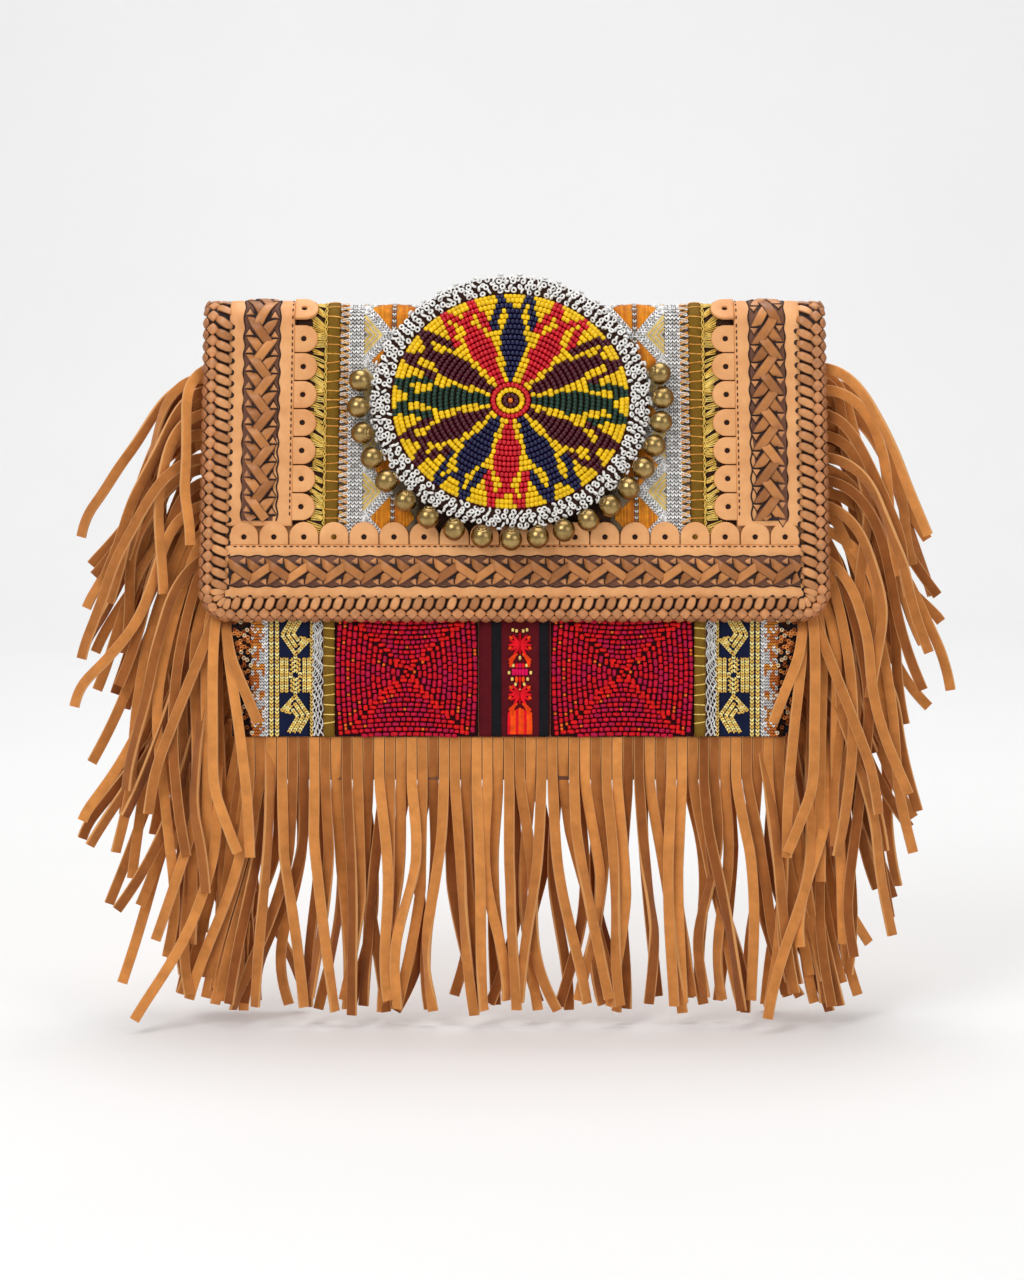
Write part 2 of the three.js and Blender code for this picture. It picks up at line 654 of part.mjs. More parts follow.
function sideFringe(sign, salt) {
  const outer = OUTER_FRINGE.seam;
  const inner = INNER_FRINGE.seam;
  const turnAt = seamLength(OUTER_FRINGE);
  const backAt = turnAt + inner.bottomY - outer.bottomY;
  const hungOuter = hungRow(OUTER_FRINGE, sign, salt);
  const hungInner = hungRow(INNER_FRINGE, sign, salt + 20);
  const onHead = (along, down, height) => {
    const x = sign * (SIDE_ROOT + down);
    const turned = Math.min(turnAt, along);
    const back = Math.max(0, along - backAt);
    const share = back / seamLength(INNER_FRINGE);
    const mitre = along > turnAt - 0.001 && back < 0.001 ? height : 0;
    if (along < turnAt + 0.001) {
      const y = lerp(outer.topY, outer.bottomY, turned / turnAt);
      return new THREE.Vector3(x, y - height, outer.top - turned - mitre);
    }
    return new THREE.Vector3(x, lerp(inner.bottomY, inner.topY, share) + height, inner.bottom + back - mitre);
  };
  const place = (along, down, height) => {
    if (down <= 0) {
      return onHead(along, down, height);
    }
    if (along < backAt) {
      return hungOuter(along, down, height);
    }
    return hungInner(seamLength(INNER_FRINGE) - (along - backAt), down, -height);
  };
  const cut = { head: SIDE_HEAD, rings: SIDE_RINGS };
  const cells = [
    ...fringeCells({ ...cut, count: OUTER_FRINGE.count, pitch: rowPitch(OUTER_FRINGE) }),
    { outline: [[turnAt, -SIDE_HEAD], [backAt, -SIDE_HEAD], [backAt, 0], [turnAt, 0]] },
    ...fringeCells({ ...cut, count: INNER_FRINGE.count, pitch: rowPitch(INNER_FRINGE), from: backAt }),
  ];
  return plate(cells, place, -STRIP_THICKNESS / 2, STRIP_THICKNESS / 2);
}

// The assembly
const bag = new THREE.Group();

function addPiece(parent, name, geometry, finish) {
  const mesh = new THREE.Mesh(geometry, new THREE.MeshStandardMaterial(FINISHES[finish]));
  mesh.name = name;
  parent.add(mesh);
  return mesh;
}

// Ribbons that repeat on both sides, by their edges from the middle outwards
const FLAP_RIBBONS = [
  { name: 'zigzag_trim', inside: 46.2, outside: 74.8, finish: 'zigzag' },
  { name: 'silver_trim', inside: 75.1, outside: 85.9, finish: 'silver' },
  { name: 'flap_olive_ribbon', inside: 86.2, outside: 91.4, finish: 'olive' },
  { name: 'gold_lace', inside: 91.7, outside: 106.5, finish: 'goldLace' },
];
const PANEL_RIBBONS = [
  { name: 'red_beaded_panel', inside: 17.4, outside: 86.7, finish: 'redBeads' },
  { name: 'panel_olive_ribbon', inside: 87, outside: 92.2, finish: 'olive' },
  { name: 'panel_silver_lace', inside: 92.5, outside: 97.8, finish: 'silver' },
  { name: 'gold_navy_ribbon', inside: 98.1, outside: 119.4, finish: 'goldNavy' },
  { name: 'copper_edging', inside: 119.7, outside: 134.5, finish: 'copper' },
];

addPiece(bag, 'flap_and_back', flapAndBack(), 'leather');
addPiece(bag, 'front_panel', frontPanel(), 'leather');
addPiece(bag, 'base_panel', basePanel(), 'leather');
addPiece(bag, 'centre_cloth', flapRibbon(-45.9, 45.9), 'darkCloth');
addPiece(bag, 'woven_centre_ribbon', panelRibbon(-17.1, 17.1), 'woven');
addPiece(bag, 'scallop_band_bottom', bottomBand(), 'leather');
addPiece(bag, 'braid_bottom', bottomBraid(), 'braid');
addPiece(bag, 'lacing_bottom', bottomLacing(), 'braid');
addPiece(bag, 'fringe_bottom', bottomFringe(), 'suede');

for (const { word, sign, salt } of SIDES) {
  addPiece(bag, `gusset_${word}`, gusset(sign), 'leather');
  addPiece(bag, `scallop_band_${word}`, sideBand(sign), 'leather');
  addPiece(bag, `braid_${word}`, sideBraid(sign), 'braid');
  addPiece(bag, `lacing_${word}`, sideLacing(sign), 'braid');
  addPiece(bag, `fringe_${word}`, sideFringe(sign, salt), 'suede');
  for (const { name, inside, outside, finish } of FLAP_RIBBONS) {
    const edges = [sign * inside, sign * outside].sort((a, b) => a - b);
    addPiece(bag, `${name}_${word}`, flapRibbon(...edges), finish);
  }
  for (const { name, inside, outside, finish } of PANEL_RIBBONS) {
    const edges = [sign * inside, sign * outside].sort((a, b) => a - b);
    addPiece(bag, `${name}_${word}`, panelRibbon(...edges), finish);
  }
}

const rosette = new THREE.Group();
rosette.position.copy(onFoldedSheet(0, ROSETTE.down, ROSETTE.standOff));
rosette.rotation.x = radians(90 - ROSETTE.tiltDeg);
addPiece(rosette, 'rosette', rosetteDisc(), 'yellowBeads');
addPiece(rosette, 'rosette_edging', rosetteEdging(), 'whiteBeads');
for (let k = 0; k < BELL.count; k += 1) {
  const bell = addPiece(
    rosette,
    `bell_${String(k + 1).padStart(2, '0')}`,
    new THREE.SphereGeometry(BELL.radius, 10, 5),
    'brass',
  );
  bell.position.copy(bellPosition(k));
  bell.rotation.z = bellAngle(k) + Math.PI / 2;
}
bag.add(rosette);

export default bag;
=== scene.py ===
import math

import bmesh
import bpy
from mathutils import Matrix, Vector


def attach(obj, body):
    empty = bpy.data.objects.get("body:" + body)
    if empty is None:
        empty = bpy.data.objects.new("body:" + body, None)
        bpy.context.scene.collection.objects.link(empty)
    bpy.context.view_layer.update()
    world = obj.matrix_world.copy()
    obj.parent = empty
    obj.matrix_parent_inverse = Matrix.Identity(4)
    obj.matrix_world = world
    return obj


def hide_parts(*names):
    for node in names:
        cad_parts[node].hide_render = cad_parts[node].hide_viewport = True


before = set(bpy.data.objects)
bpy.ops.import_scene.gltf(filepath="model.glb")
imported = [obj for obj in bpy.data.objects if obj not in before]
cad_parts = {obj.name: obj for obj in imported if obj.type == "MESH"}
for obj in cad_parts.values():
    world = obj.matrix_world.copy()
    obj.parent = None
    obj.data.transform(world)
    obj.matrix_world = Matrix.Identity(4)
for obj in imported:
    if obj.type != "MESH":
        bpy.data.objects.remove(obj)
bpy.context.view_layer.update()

# Sizes in millimetres, the same as the part's solids
MM = 0.001
FLAP_WIDTH = 300.0
FLAP_LENGTH = 153.5
HALF_FLAP = FLAP_WIDTH / 2
CORNER_RADIUS = 14.0
LEATHER = 2.2
FOLD_RADIUS = 9.0
LEAN = math.radians(6)
CROWN = 5.0
CROWN_RUN = 72.0
BACK_START = -FOLD_RADIUS * math.pi / 2
FRONT_START = FOLD_RADIUS * (math.pi / 2 - LEAN)
TRIM_START = -FOLD_RADIUS * math.radians(42)
POUCH_BOTTOM = -204.3
BACK_END = POUCH_BOTTOM + FOLD_RADIUS + BACK_START
BACK_WIDTH_BOTTOM = 282.0
BACK_CORNER_RADIUS = 6.0
HALF_PANEL = 136.0
PANEL_TOP = 20.0
PANEL_DROP = 4.0
PANEL_LEATHER = 2.0
PANEL_CLOTH_TOP = FRONT_START + CROWN_RUN
GUSSET_INSIDE = 132.0
GUSSET_TOP = -27.0
GAP = 0.3
CLOTH_TOP = 1.3
BAND_BASE = 1.6
BAND_TOP = 3.2
BAND_EDGE = 13.0
SCALLOP_TIP = 96.0
SCALLOP_NOTCH = 107.0
SCALLOP_HOLE = 2.6
SIDE_COUNT, SIDE_FROM, SIDE_TO = 7, 13.0, 106.8
BOTTOM_COUNT, BOTTOM_TIP, BOTTOM_NOTCH = 19, 107.4, 118.3
SIDE_BRAID_CENTRE, SIDE_BRAID_END = 122.8, 106.4
BOTTOM_BRAID_CENTRE, BOTTOM_BRAID_HALF = 131.4, 133.0
STITCH_PITCH, BACK_STITCH_PITCH, LACE_PITCH = 3.0, 3.4, 5.45
ROSETTE_DOWN, ROSETTE_LIFT, ROSETTE_TILT = 51.3, 6.0, math.radians(78)
ROSETTE_OVAL = 0.953
# The rosette hangs a little to the left, and its face a little flatter, as beads and threads settle
ROSETTE_LEFT, ROSETTE_RAISED, ROSETTE_FLATTER = 1.9, 1.2, 0.955
RING_PITCH, BEAD_PITCH, PICOT_PITCH = 2.8, 2.05, 3.75
EDGING_OUTSIDE = 66.5
BELL_RADIUS, BELL_COUNT, BELL_LIFT = 5.4, 20, 3.5
STRIP_WIDTH, STRIP_THICK, STRIP_ROUNDING = 5.0, 1.8, 0.42
BOTTOM_COUNT_STRIPS, BOTTOM_STRIP_PITCH, BOTTOM_STRIP_LENGTH = 50, 5.2, 126.0
BOTTOM_LAYERS = (-4.5, 0.0, 4.5)
SIDE_ROOT, SIDE_HEAD, SIDE_STRIP_LENGTH, STRIP_FREE_FROM = 138.0, 3.7, 138.0, 14.0
# Past this reach the side strips are drawn in, by no more than the second number
SIDE_REACH, SIDE_REACH_EASE = 204.0, 10.0
# The rows of a side fringe. How a strip hangs: share of the seam, first and last heading,
# bend, lean forward and length
OUTER_FRINGE = {
    "count": 33, "top": -27.0, "bottom": -202.5, "y": (-1.0, -9.0), "scatter": 8,
    "layers": (-8.4, 1.2, -3.6, 6.0, -6.0, 3.6, -1.2, 8.4),
    "hang": (
        (0.0, -12, 72, 25, 6, 112),
        (0.35, -4, 72, 25, 10, 128),
        (0.7, 6, 73, 24, 16, 138),
        (0.84, 20, 75, 22, 19, 150),
        (1.0, 70, 90, 16, 24, 138),
    ),
}
INNER_FRINGE = {
    "count": 11, "top": -125.0, "bottom": -202.5, "y": (5.4, 4.6), "scatter": 2,
    "layers": (-1.3, 1.3),
    "hang": ((0.0, -4, 80, 26, -10, 140), (0.5, 20, 81, 24, -9, 148), (1.0, 66, 92, 16, -6, 137)),
}
# A row behind the upper strips
REAR_FRINGE = {
    "count": 21, "top": -29.6, "bottom": -140.0, "y": (4.2, 3.4), "scatter": 5,
    "layers": (-1.0, 1.0),
    "hang": ((0.0, -12, 70, 25, 0, 112), (0.5, 6, 74, 24, 0, 124), (1.0, 26, 80, 22, 0, 140)),
}
SIDES = (("left", -1, 50), ("right", 1, 240))


def lerp(a, b, share):
    return a + (b - a) * share


def clamp(value, low=0.0, high=1.0):
    return max(low, min(high, value))


def ease(value, low, high):
    share = clamp((value - low) / (high - low))
    return share * share * (3 - 2 * share)


# The same small irregularity every time for one piece and one purpose
def wobble(index, salt):
    value = math.sin(index * 12.9898 + salt * 78.233) * 43758.5453
    return 2 * (value - math.floor(value)) - 1


def spread(low, high, count):
    return [lerp(low, high, k / count) for k in range(count + 1)]


# The folded leather: x across, a distance down from the crest, a height off the surface
def on_sheet(x, down, height):
    out = FOLD_RADIUS + height
    if down < BACK_START:
        return Vector((x, out, down - BACK_START - FOLD_RADIUS))
    if down < FRONT_START:
        turn = down / FOLD_RADIUS
        return Vector((x, -out * math.sin(turn), out * math.cos(turn) - FOLD_RADIUS))
    run = down - FRONT_START
    y = -out * math.cos(LEAN) - run * math.sin(LEAN)
    return Vector((x, y, out * math.sin(LEAN) - run * math.cos(LEAN) - FOLD_RADIUS))


def crown(x, down):
    return CROWN * ease(down, FRONT_START, FRONT_START + CROWN_RUN) * (1 - (x / HALF_FLAP) ** 2)


def flare(down):
    return lerp(0.98, 1.003, clamp(down / FLAP_LENGTH))


def on_flap(across, down, height):
    x = across * flare(down)
    return on_sheet(x, down, height + crown(x, down))


def on_panel(across, down, height):
    return on_sheet(across, down, height + crown(across, down) - PANEL_DROP)


def down_at(z):
    return FRONT_START - (z + FOLD_RADIUS * (1 - math.sin(LEAN))) / math.cos(LEAN)


PANEL_END = down_at(POUCH_BOTTOM)
PANEL_CLOTH_END = PANEL_END - 0.2
ROSETTE_PLACE = on_sheet(0, ROSETTE_DOWN, ROSETTE_LIFT)
ROSETTE_TURN = Matrix.Rotation(ROSETTE_TILT, 3, "X")


def on_disc(x, y, z):
    return ROSETTE_PLACE + ROSETTE_TURN @ Vector((x - ROSETTE_LEFT, ROSETTE_FLATTER * y + ROSETTE_RAISED, z))


# A place on a surface with its own axes: right, up and out
def stance(surface, across, down, height):
    here = surface(across, down, height)
    right = (surface(across + 0.5, down, height) - here).normalized()
    up = (here - surface(across, down + 0.5, height)).normalized()
    out = right.cross(up).normalized()
    return here, right, out.cross(right), out


# Node building: put makes a node, made gives the first output of a new one
def put(tree, kind, values=None, **settings):
    node = tree.nodes.new(kind)
    for key, value in settings.items():
        setattr(node, key, value)
    for key, value in (values or {}).items():
        if isinstance(value, bpy.types.NodeSocket):
            tree.links.new(value, node.inputs[key])
        else:
            node.inputs[key].default_value = value
    return node


def made(tree, kind, values=None, **settings):
    return put(tree, kind, values, **settings).outputs[0]


def sum_of(tree, operation, *values):
    return made(tree, "ShaderNodeMath", dict(enumerate(values)), operation=operation)


def scaled(tree, vector, scale):
    return made(tree, "ShaderNodeVectorMath", {0: vector, "Scale": scale}, operation="SCALE")


def sockets(tree, inputs, outputs):
    for way, ends in (("INPUT", inputs), ("OUTPUT", outputs)):
        for name, kind in ends.items():
            tree.interface.new_socket(name, in_out=way, socket_type="NodeSocket" + kind)
    return put(tree, "NodeGroupInput").outputs, put(tree, "NodeGroupOutput").inputs


def named(tree, name, kind):
    return made(tree, "GeometryNodeInputNamedAttribute", {"Name": name}, data_type=kind)


# The end of both trees: one mesh in the finish that was given
def painted(tree, geometry, given, result):
    real = made(tree, "GeometryNodeRealizeInstances", {"Geometry": geometry})
    done = made(tree, "GeometryNodeSetMaterial", {"Geometry": real, "Material": given["Finish"]})
    tree.links.new(done, result["Geometry"])
    return tree


# Thongs and threads: a flat or round section swept along paths that say which way they face
def thong_tree():
    tree = bpy.data.node_groups.new("thongs along paths", "GeometryNodeTree")
    given, result = sockets(
        tree,
        {"Geometry": "Geometry", "Width": "Float", "Thickness": "Float", "Rounding": "Float",
         "Corner steps": "Int", "Finish": "Material"},
        {"Geometry": "Geometry"},
    )
    lines = made(tree, "GeometryNodeMeshToCurve", {"Mesh": given["Geometry"]})
    facing = made(tree, "GeometryNodeSetCurveNormal", {
        "Curve": lines, "Normal": named(tree, "facing", "FLOAT_VECTOR"),
    }, mode="FREE")
    section = made(tree, "GeometryNodeCurvePrimitiveQuadrilateral", {
        "Width": given["Thickness"], "Height": given["Width"],
    })
    rounded = made(tree, "GeometryNodeFilletCurve", {
        "Curve": section, "Radius": given["Rounding"], "Count": given["Corner steps"], "Limit Radius": True,
    }, mode="POLY")
    parts = put(tree, "ShaderNodeSeparateXYZ", {"Vector": made(tree, "GeometryNodeInputPosition")})
    half = sum_of(tree, "MULTIPLY", given["Width"], 0.5)
    sided = made(tree, "GeometryNodeStoreNamedAttribute", {
        "Geometry": rounded, "Name": "side", "Value": sum_of(tree, "DIVIDE", parts.outputs["Y"], half),
    }, data_type="FLOAT", domain="POINT")
    swept = made(tree, "GeometryNodeCurveToMesh", {
        "Curve": facing, "Profile Curve": sided, "Scale": named(tree, "girth", "FLOAT"), "Fill Caps": True,
    })
    slid = scaled(tree, named(tree, "slant", "FLOAT_VECTOR"), named(tree, "side", "FLOAT"))
    slanted = made(tree, "GeometryNodeSetPosition", {"Geometry": swept, "Offset": slid})
    smooth = made(tree, "GeometryNodeSetShadeSmooth", {"Geometry": slanted})
    return painted(tree, smooth, given, result)


# Beads, sequins, tongues and stitches: one shape laid on many spots
def spot_tree():
    tree = bpy.data.node_groups.new("shape laid on spots", "GeometryNodeTree")
    given, result = sockets(
        tree,
        {"Geometry": "Geometry", "Shape": "Object", "Size": "Float", "Finish": "Material"},
        {"Geometry": "Geometry"},
    )
    shape = put(tree, "GeometryNodeObjectInfo", {"Object": given["Shape"]}).outputs["Geometry"]
    laid = made(tree, "GeometryNodeInstanceOnPoints", {
        "Points": given["Geometry"],
        "Instance": shape,
        "Rotation": made(tree, "FunctionNodeEulerToRotation", {"Euler": named(tree, "turn", "FLOAT_VECTOR")}),
        "Scale": scaled(tree, named(tree, "stretch", "FLOAT_VECTOR"), given["Size"]),
    })
    return painted(tree, laid, given, result)


THONGS = thong_tree()
SPOTS = spot_tree()


def linked(name, data):
    thing = bpy.data.objects.new(name, data)
    bpy.context.collection.objects.link(thing)
    return thing


def grown(name, mesh, tree, settings):
    piece = linked(name, mesh)
    modifier = piece.modifiers.new(tree.name, "NODES")
    modifier.node_group = tree
    labels = {item.name: item.identifier for item in tree.interface.items_tree if item.in_out == "INPUT"}
    for label, value in settings.items():
        modifier[labels[label]] = value
    depsgraph = bpy.context.evaluated_depsgraph_get()
    finished = bpy.data.meshes.new_from_object(piece.evaluated_get(depsgraph), depsgraph=depsgraph)
    piece.modifiers.remove(modifier)
    piece.data = finished
    return piece


def attribute(mesh, name, kind, values):
    layer = mesh.attributes.new(name, kind, "POINT")
    field = {"FLOAT": "value", "FLOAT_VECTOR": "vector", "FLOAT_COLOR": "color"}[kind]
    flat = values if kind == "FLOAT" else [number for row in values for number in row]
    layer.data.foreach_set(field, flat)


def belongs(piece, slot, nodes):
    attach(piece, "root")
    if nodes:
        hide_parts(*nodes)
    return piece


# One path of a thong: its points, the way it faces at each, its colour shade, its girth,
# and how far one side runs ahead of the other where an end is cut on the slant
def path(points, facing, shade=0.0, girth=None, slant=None):
    if isinstance(facing, Vector):
        facing = [facing] * len(points)
    count = len(points)
    return points, facing, shade, girth or [1.0] * count, slant or [Vector((0, 0, 0))] * count


def thongs(name, slot, nodes, paths, finish, width, thickness=None, rounding=None, steps=2):
    thickness = thickness or width
    rounding = rounding or 0.49 * min(width, thickness)
    mesh = bpy.data.meshes.new(name)
    places, edges, facings, shades, girths, slants = [], [], [], [], [], []
    for points, facing, shade, girth, slant in paths:
        first = len(places)
        places += [point * MM for point in points]
        edges += [(first + k, first + k + 1) for k in range(len(points) - 1)]
        facings += facing
        shades += [shade] * len(points)
        girths += girth
        slants += [shift * MM for shift in slant]
    mesh.from_pydata(places, edges, [])
    attribute(mesh, "facing", "FLOAT_VECTOR", facings)
    attribute(mesh, "shade", "FLOAT", shades)
    attribute(mesh, "girth", "FLOAT", girths)
    attribute(mesh, "slant", "FLOAT_VECTOR", slants)
    piece = grown(name, mesh, THONGS, {
        "Width": width * MM, "Thickness": thickness * MM, "Rounding": rounding * MM, "Corner steps": steps,
        "Finish": finish,
    })
    return belongs(piece, slot, nodes)


# Faces that point out and shade smoothly
def settled(mesh, weld=False):
    shell = bmesh.new()
    shell.from_mesh(mesh)
    if weld:
        bmesh.ops.remove_doubles(shell, verts=shell.verts, dist=0.0001)
    bmesh.ops.recalc_face_normals(shell, faces=shell.faces)
    shell.to_mesh(mesh)
    shell.free()
    mesh.polygons.foreach_set("use_smooth", [True] * len(mesh.polygons))
    return mesh


# Three axes as a matrix: right, up and out
def framed(right, up, out):
    return Matrix((right, up, out)).transposed()


# One spot for a copied shape: place, axes, spin about the way out, size and colour
def spot(place, axes, spin=0.0, size=(1, 1, 1), tint=(1, 1, 1)):
    turn = (axes @ Matrix.Rotation(spin, 3, "Z")).to_euler()
    return place, turn, size, tint


def spot_on(surface, across, down, height, spin=0.0, size=(1, 1, 1), tint=(1, 1, 1)):
    place, right, up, out = stance(surface, across, down, height)
    return spot(place, framed(right, up, out), spin, size, tint)


def copies(name, slot, nodes, shape, spots, finish):
    mesh = bpy.data.meshes.new(name)
    mesh.from_pydata([place * MM for place, _, _, _ in spots], [], [])
    attribute(mesh, "turn", "FLOAT_VECTOR", [tuple(turn) for _, turn, _, _ in spots])
    attribute(mesh, "stretch", "FLOAT_VECTOR", [size for _, _, size, _ in spots])
    attribute(mesh, "tint", "FLOAT_COLOR", [(*tint, 1.0) for _, _, _, tint in spots])
    model = bpy.data.objects.new(name + "_one", shape)
    piece = grown(name, mesh, SPOTS, {"Shape": model, "Size": MM, "Finish": finish})
    bpy.data.objects.remove(model)
    return belongs(piece, slot, nodes)


# A plain mesh as a piece, with the flat place of each of its points as its chart
def charted(name, slot, nodes, mesh, chart, finish):
    layer = mesh.uv_layers.new(name="cloth")
    for loop in mesh.loops:
        layer.data[loop.index].uv = chart[loop.vertex_index]
    settled(mesh)
    mesh.materials.append(finish)
    return belongs(linked(name, mesh), slot, nodes)


# A sheet of leather or cloth with softened edges, laid by place(u, v, height)
def slab(name, slot, nodes, place, columns, rows, low, high, finish, rim=0.4):
    wide, tall = len(columns), len(rows)
    points = []
    for side, level in ((1, high), (-1, low)):
        for r, v in enumerate(rows):
            for c, u in enumerate(columns):
                border = r in (0, tall - 1) or c in (0, wide - 1)
                points.append(place(u, v, level - side * rim * border) * MM)
    lower = wide * tall
    faces = []
    for r in range(tall - 1):
        for c in range(wide - 1):
            a = r * wide + c
            faces.append((a, a + wide, a + wide + 1, a + 1))
            faces.append((a + lower, a + 1 + lower, a + wide + 1 + lower, a + wide + lower))
    border = list(range(wide)) + [r * wide + wide - 1 for r in range(1, tall)]
    border += [(tall - 1) * wide + c for c in range(wide - 2, -1, -1)]
    border += [r * wide for r in range(tall - 2, 0, -1)]
    for a, b in zip(border, border[1:] + border[:1]):
        faces.append((a, b, b + lower, a + lower))
    mesh = bpy.data.meshes.new(name)
    mesh.from_pydata(points, [], faces)
    chart = [(u * MM, v * MM) for v in rows for u in columns] * 2
    return charted(name, slot, nodes, mesh, chart, finish)


def circle(sides):
    angles = [2 * math.pi * k / sides for k in range(sides)]
    return [(math.cos(angle), math.sin(angle)) for angle in angles]


# A closed mesh through rings of points: its ends are flat, or the last ring joins the first
def lofted(name, rings, joined=False):
    around, count = len(rings[0]), len(rings)
    faces = []
    for r in range(count if joined else count - 1):
        after = ((r + 1) % count - r) * around
        for k in range(around):
            a, b = r * around + k, r * around + (k + 1) % around
            faces.append((a, b, b + after, a + after))
    if not joined:
        last = (count - 1) * around
        faces += [tuple(reversed(range(around))), tuple(range(last, last + around))]
    mesh = bpy.data.meshes.new(name)
    mesh.from_pydata([point for ring in rings for point in ring], [], faces)
    return settled(mesh, weld=True)


# A turned shape about its own z axis, from (radius, height) pairs
def turned(name, profile, sides):
    return lofted(name, [[(radius * x, radius * y, height) for x, y in circle(sides)]
                         for radius, height in profile])


def ring_bead(name, radius, wall, around, section):
    rings = [[((radius + wall * u) * x, (radius + wall * u) * y, 1.15 * wall * v) for u, v in circle(section)]
             for x, y in circle(around)]
    return lofted(name, rings, joined=True)


# A seed bead one unit across, its hole along x
def seed_bead(name, length):
    half = length / 2
    profile = [(0.2, -half), (0.42, -0.86 * half), (0.5, 0), (0.42, 0.86 * half), (0.2, half)]
    mesh = turned(name, profile, 8)
    mesh.transform(Matrix.Rotation(math.pi / 2, 4, "Y"))
    return mesh


# A long grain along x, for stitches and slits
def pill(name, length, width, height, around=6, steps=4):
    rings = []
    for r in range(steps + 1):
        share = 2 * r / steps - 1
        swell = math.sqrt(max(0.05, 1 - share ** 4))
        rings.append([(share * length / 2, swell * width / 2 * y, swell * height / 2 * z)
                      for y, z in circle(around)])
    return lofted(name, rings)


# A small domed triangle of leather; its base lies along y and its tip points to +x
def wedge(name, tall, wide, height):
    outline = ((0, -0.5), (0.55, -0.22), (1, 0), (0.55, 0.22), (0, 0.5), (0, 0))
    levels = ((1.0, 0.0), (0.9, 0.7), (0.5, 1.0))
    return lofted(name, [[(tall * lerp(0.35, x, share), wide * y * share, level * height) for x, y in outline]
                         for share, level in levels])


# A domed pad of leather, pointed or oval by its power
def pad(name, half_long, half_wide, height, power):
    rings = []
    for share, level in ((1.0, 0.0), (0.97, 0.45), (0.8, 0.82), (0.45, 1.0)):
        ring = []
        for x, y in circle(12):
            reach = share * (abs(x) ** power + abs(y) ** power) ** (-1 / power)
            ring.append((half_long * reach * x, half_wide * reach * y, level * height))
        rings.append(ring)
    return lofted(name, rings)


# A scallop with a punched hole: round at its tip, straight at its root
TONGUE_LEVELS = (
    (0.0, 0.0), (1.0, 0.0), (1.0, 1.15), (0.95, 1.5), (0.88, 1.6), (0.5, 1.6), (0.12, 1.6), (0.04, 1.5),
    (0.0, 1.1),
)


def tongue(width, long):
    half = width / 2 - 0.25
    hole = SCALLOP_HOLE / 2
    middle = long - width / 2
    outline = [(-half, 0)]
    for k in range(29):
        angle = math.pi * (1 - k / 28)
        outline.append((half * math.cos(angle), long - half + half * math.sin(angle)))
    outline += [(half, 0)] + [(lerp(half, -half, k / 8), 0) for k in range(1, 8)]
    rings = []
    for share, height in TONGUE_LEVELS:
        ring = []
        for x, y in outline:
            angle = math.atan2(y - middle, x)
            rim = (hole * math.cos(angle), middle + hole * math.sin(angle))
            ring.append((lerp(rim[0], x, share), lerp(rim[1], y, share), height))
        rings.append(ring)
    return lofted("tongue", rings, joined=True)


# Finishes
def rgb(red, green, blue):
    return tuple((value / 255 / 12.92) if value <= 10 else (((value / 255) + 0.055) / 1.055) ** 2.4
                 for value in (red, green, blue))


def rgba(colour):
    return (*rgb(*colour), 1.0)


def toned(colour, tone):
    return tuple(tone * value for value in colour)


def shader_group(name, inputs, outputs):
    tree = bpy.data.node_groups.new(name, "ShaderNodeTree")
    return tree, *sockets(tree, dict.fromkeys(inputs, "Float"), dict.fromkeys(outputs, "Float"))


def noise(tree, place, scale, detail, roughness=0.5):
    return made(tree, "ShaderNodeTexNoise", {
        "Vector": place, "Scale": scale, "Detail": detail, "Roughness": roughness,
    })


def share_of(tree, value, low, high):
    return made(tree, "ShaderNodeMapRange", {"Value": value, "From Min": low, "From Max": high})


# Hide: slow clouding, fine pores and stretch lines
def hide_group():
    tree, given, result = shader_group("hide grain", ("Cloud size", "Pore size"), ("Cloud", "Height"))
    coords = put(tree, "ShaderNodeTexCoord").outputs["Object"]
    cloud = noise(tree, coords, given["Cloud size"], 6.0, 0.62)
    pores = made(tree, "ShaderNodeTexVoronoi", {"Vector": coords, "Scale": given["Pore size"]})
    nap = noise(tree, coords, given["Pore size"], 3.0, 0.7)
    tree.links.new(share_of(tree, cloud, 0.32, 0.68), result["Cloud"])
    tree.links.new(sum_of(tree, "ADD", pores, nap), result["Height"])
    return tree


# Cloth: over and under threads along the piece's own chart
def weave_group():
    tree, given, result = shader_group("cloth weave", ("Threads",), ("Cloud", "Height"))
    chart = put(tree, "ShaderNodeTexCoord").outputs["UV"]
    parts = put(tree, "ShaderNodeSeparateXYZ", {"Vector": chart}).outputs
    waves = []
    for axis in ("X", "Y"):
        turns = sum_of(tree, "MULTIPLY", parts[axis], given["Threads"])
        waves.append(sum_of(tree, "SINE", sum_of(tree, "MULTIPLY", turns, math.pi)))
    height = sum_of(tree, "ADD", sum_of(tree, "MULTIPLY", *waves), noise(tree, chart, 900.0, 3.0))
    tree.links.new(height, result["Height"])
    tree.links.new(share_of(tree, height, -0.6, 1.4), result["Cloud"])
    return tree


# Cut thongs: how near the cut edge, how this thong's tone differs
def thong_group():
    tree, given, result = shader_group("cut thong", ("Rim from",), ("Rim", "Tone"))
    side, shade = (put(tree, "ShaderNodeAttribute", attribute_name=name).outputs["Fac"]
                   for name in ("side", "shade"))
    away = sum_of(tree, "ABSOLUTE", side)
    tree.links.new(share_of(tree, away, given["Rim from"], 1.0), result["Rim"])
    tree.links.new(share_of(tree, shade, -1.0, 1.0), result["Tone"])
    return tree


HIDE = hide_group()
WEAVE = weave_group()
CUT = thong_group()


def group(tree, which, values):
    return put(tree, "ShaderNodeGroup", values, node_tree=which).outputs


def grain(tree, cloud_size, pore_size):
    return group(tree, HIDE, {"Cloud size": cloud_size, "Pore size": pore_size})


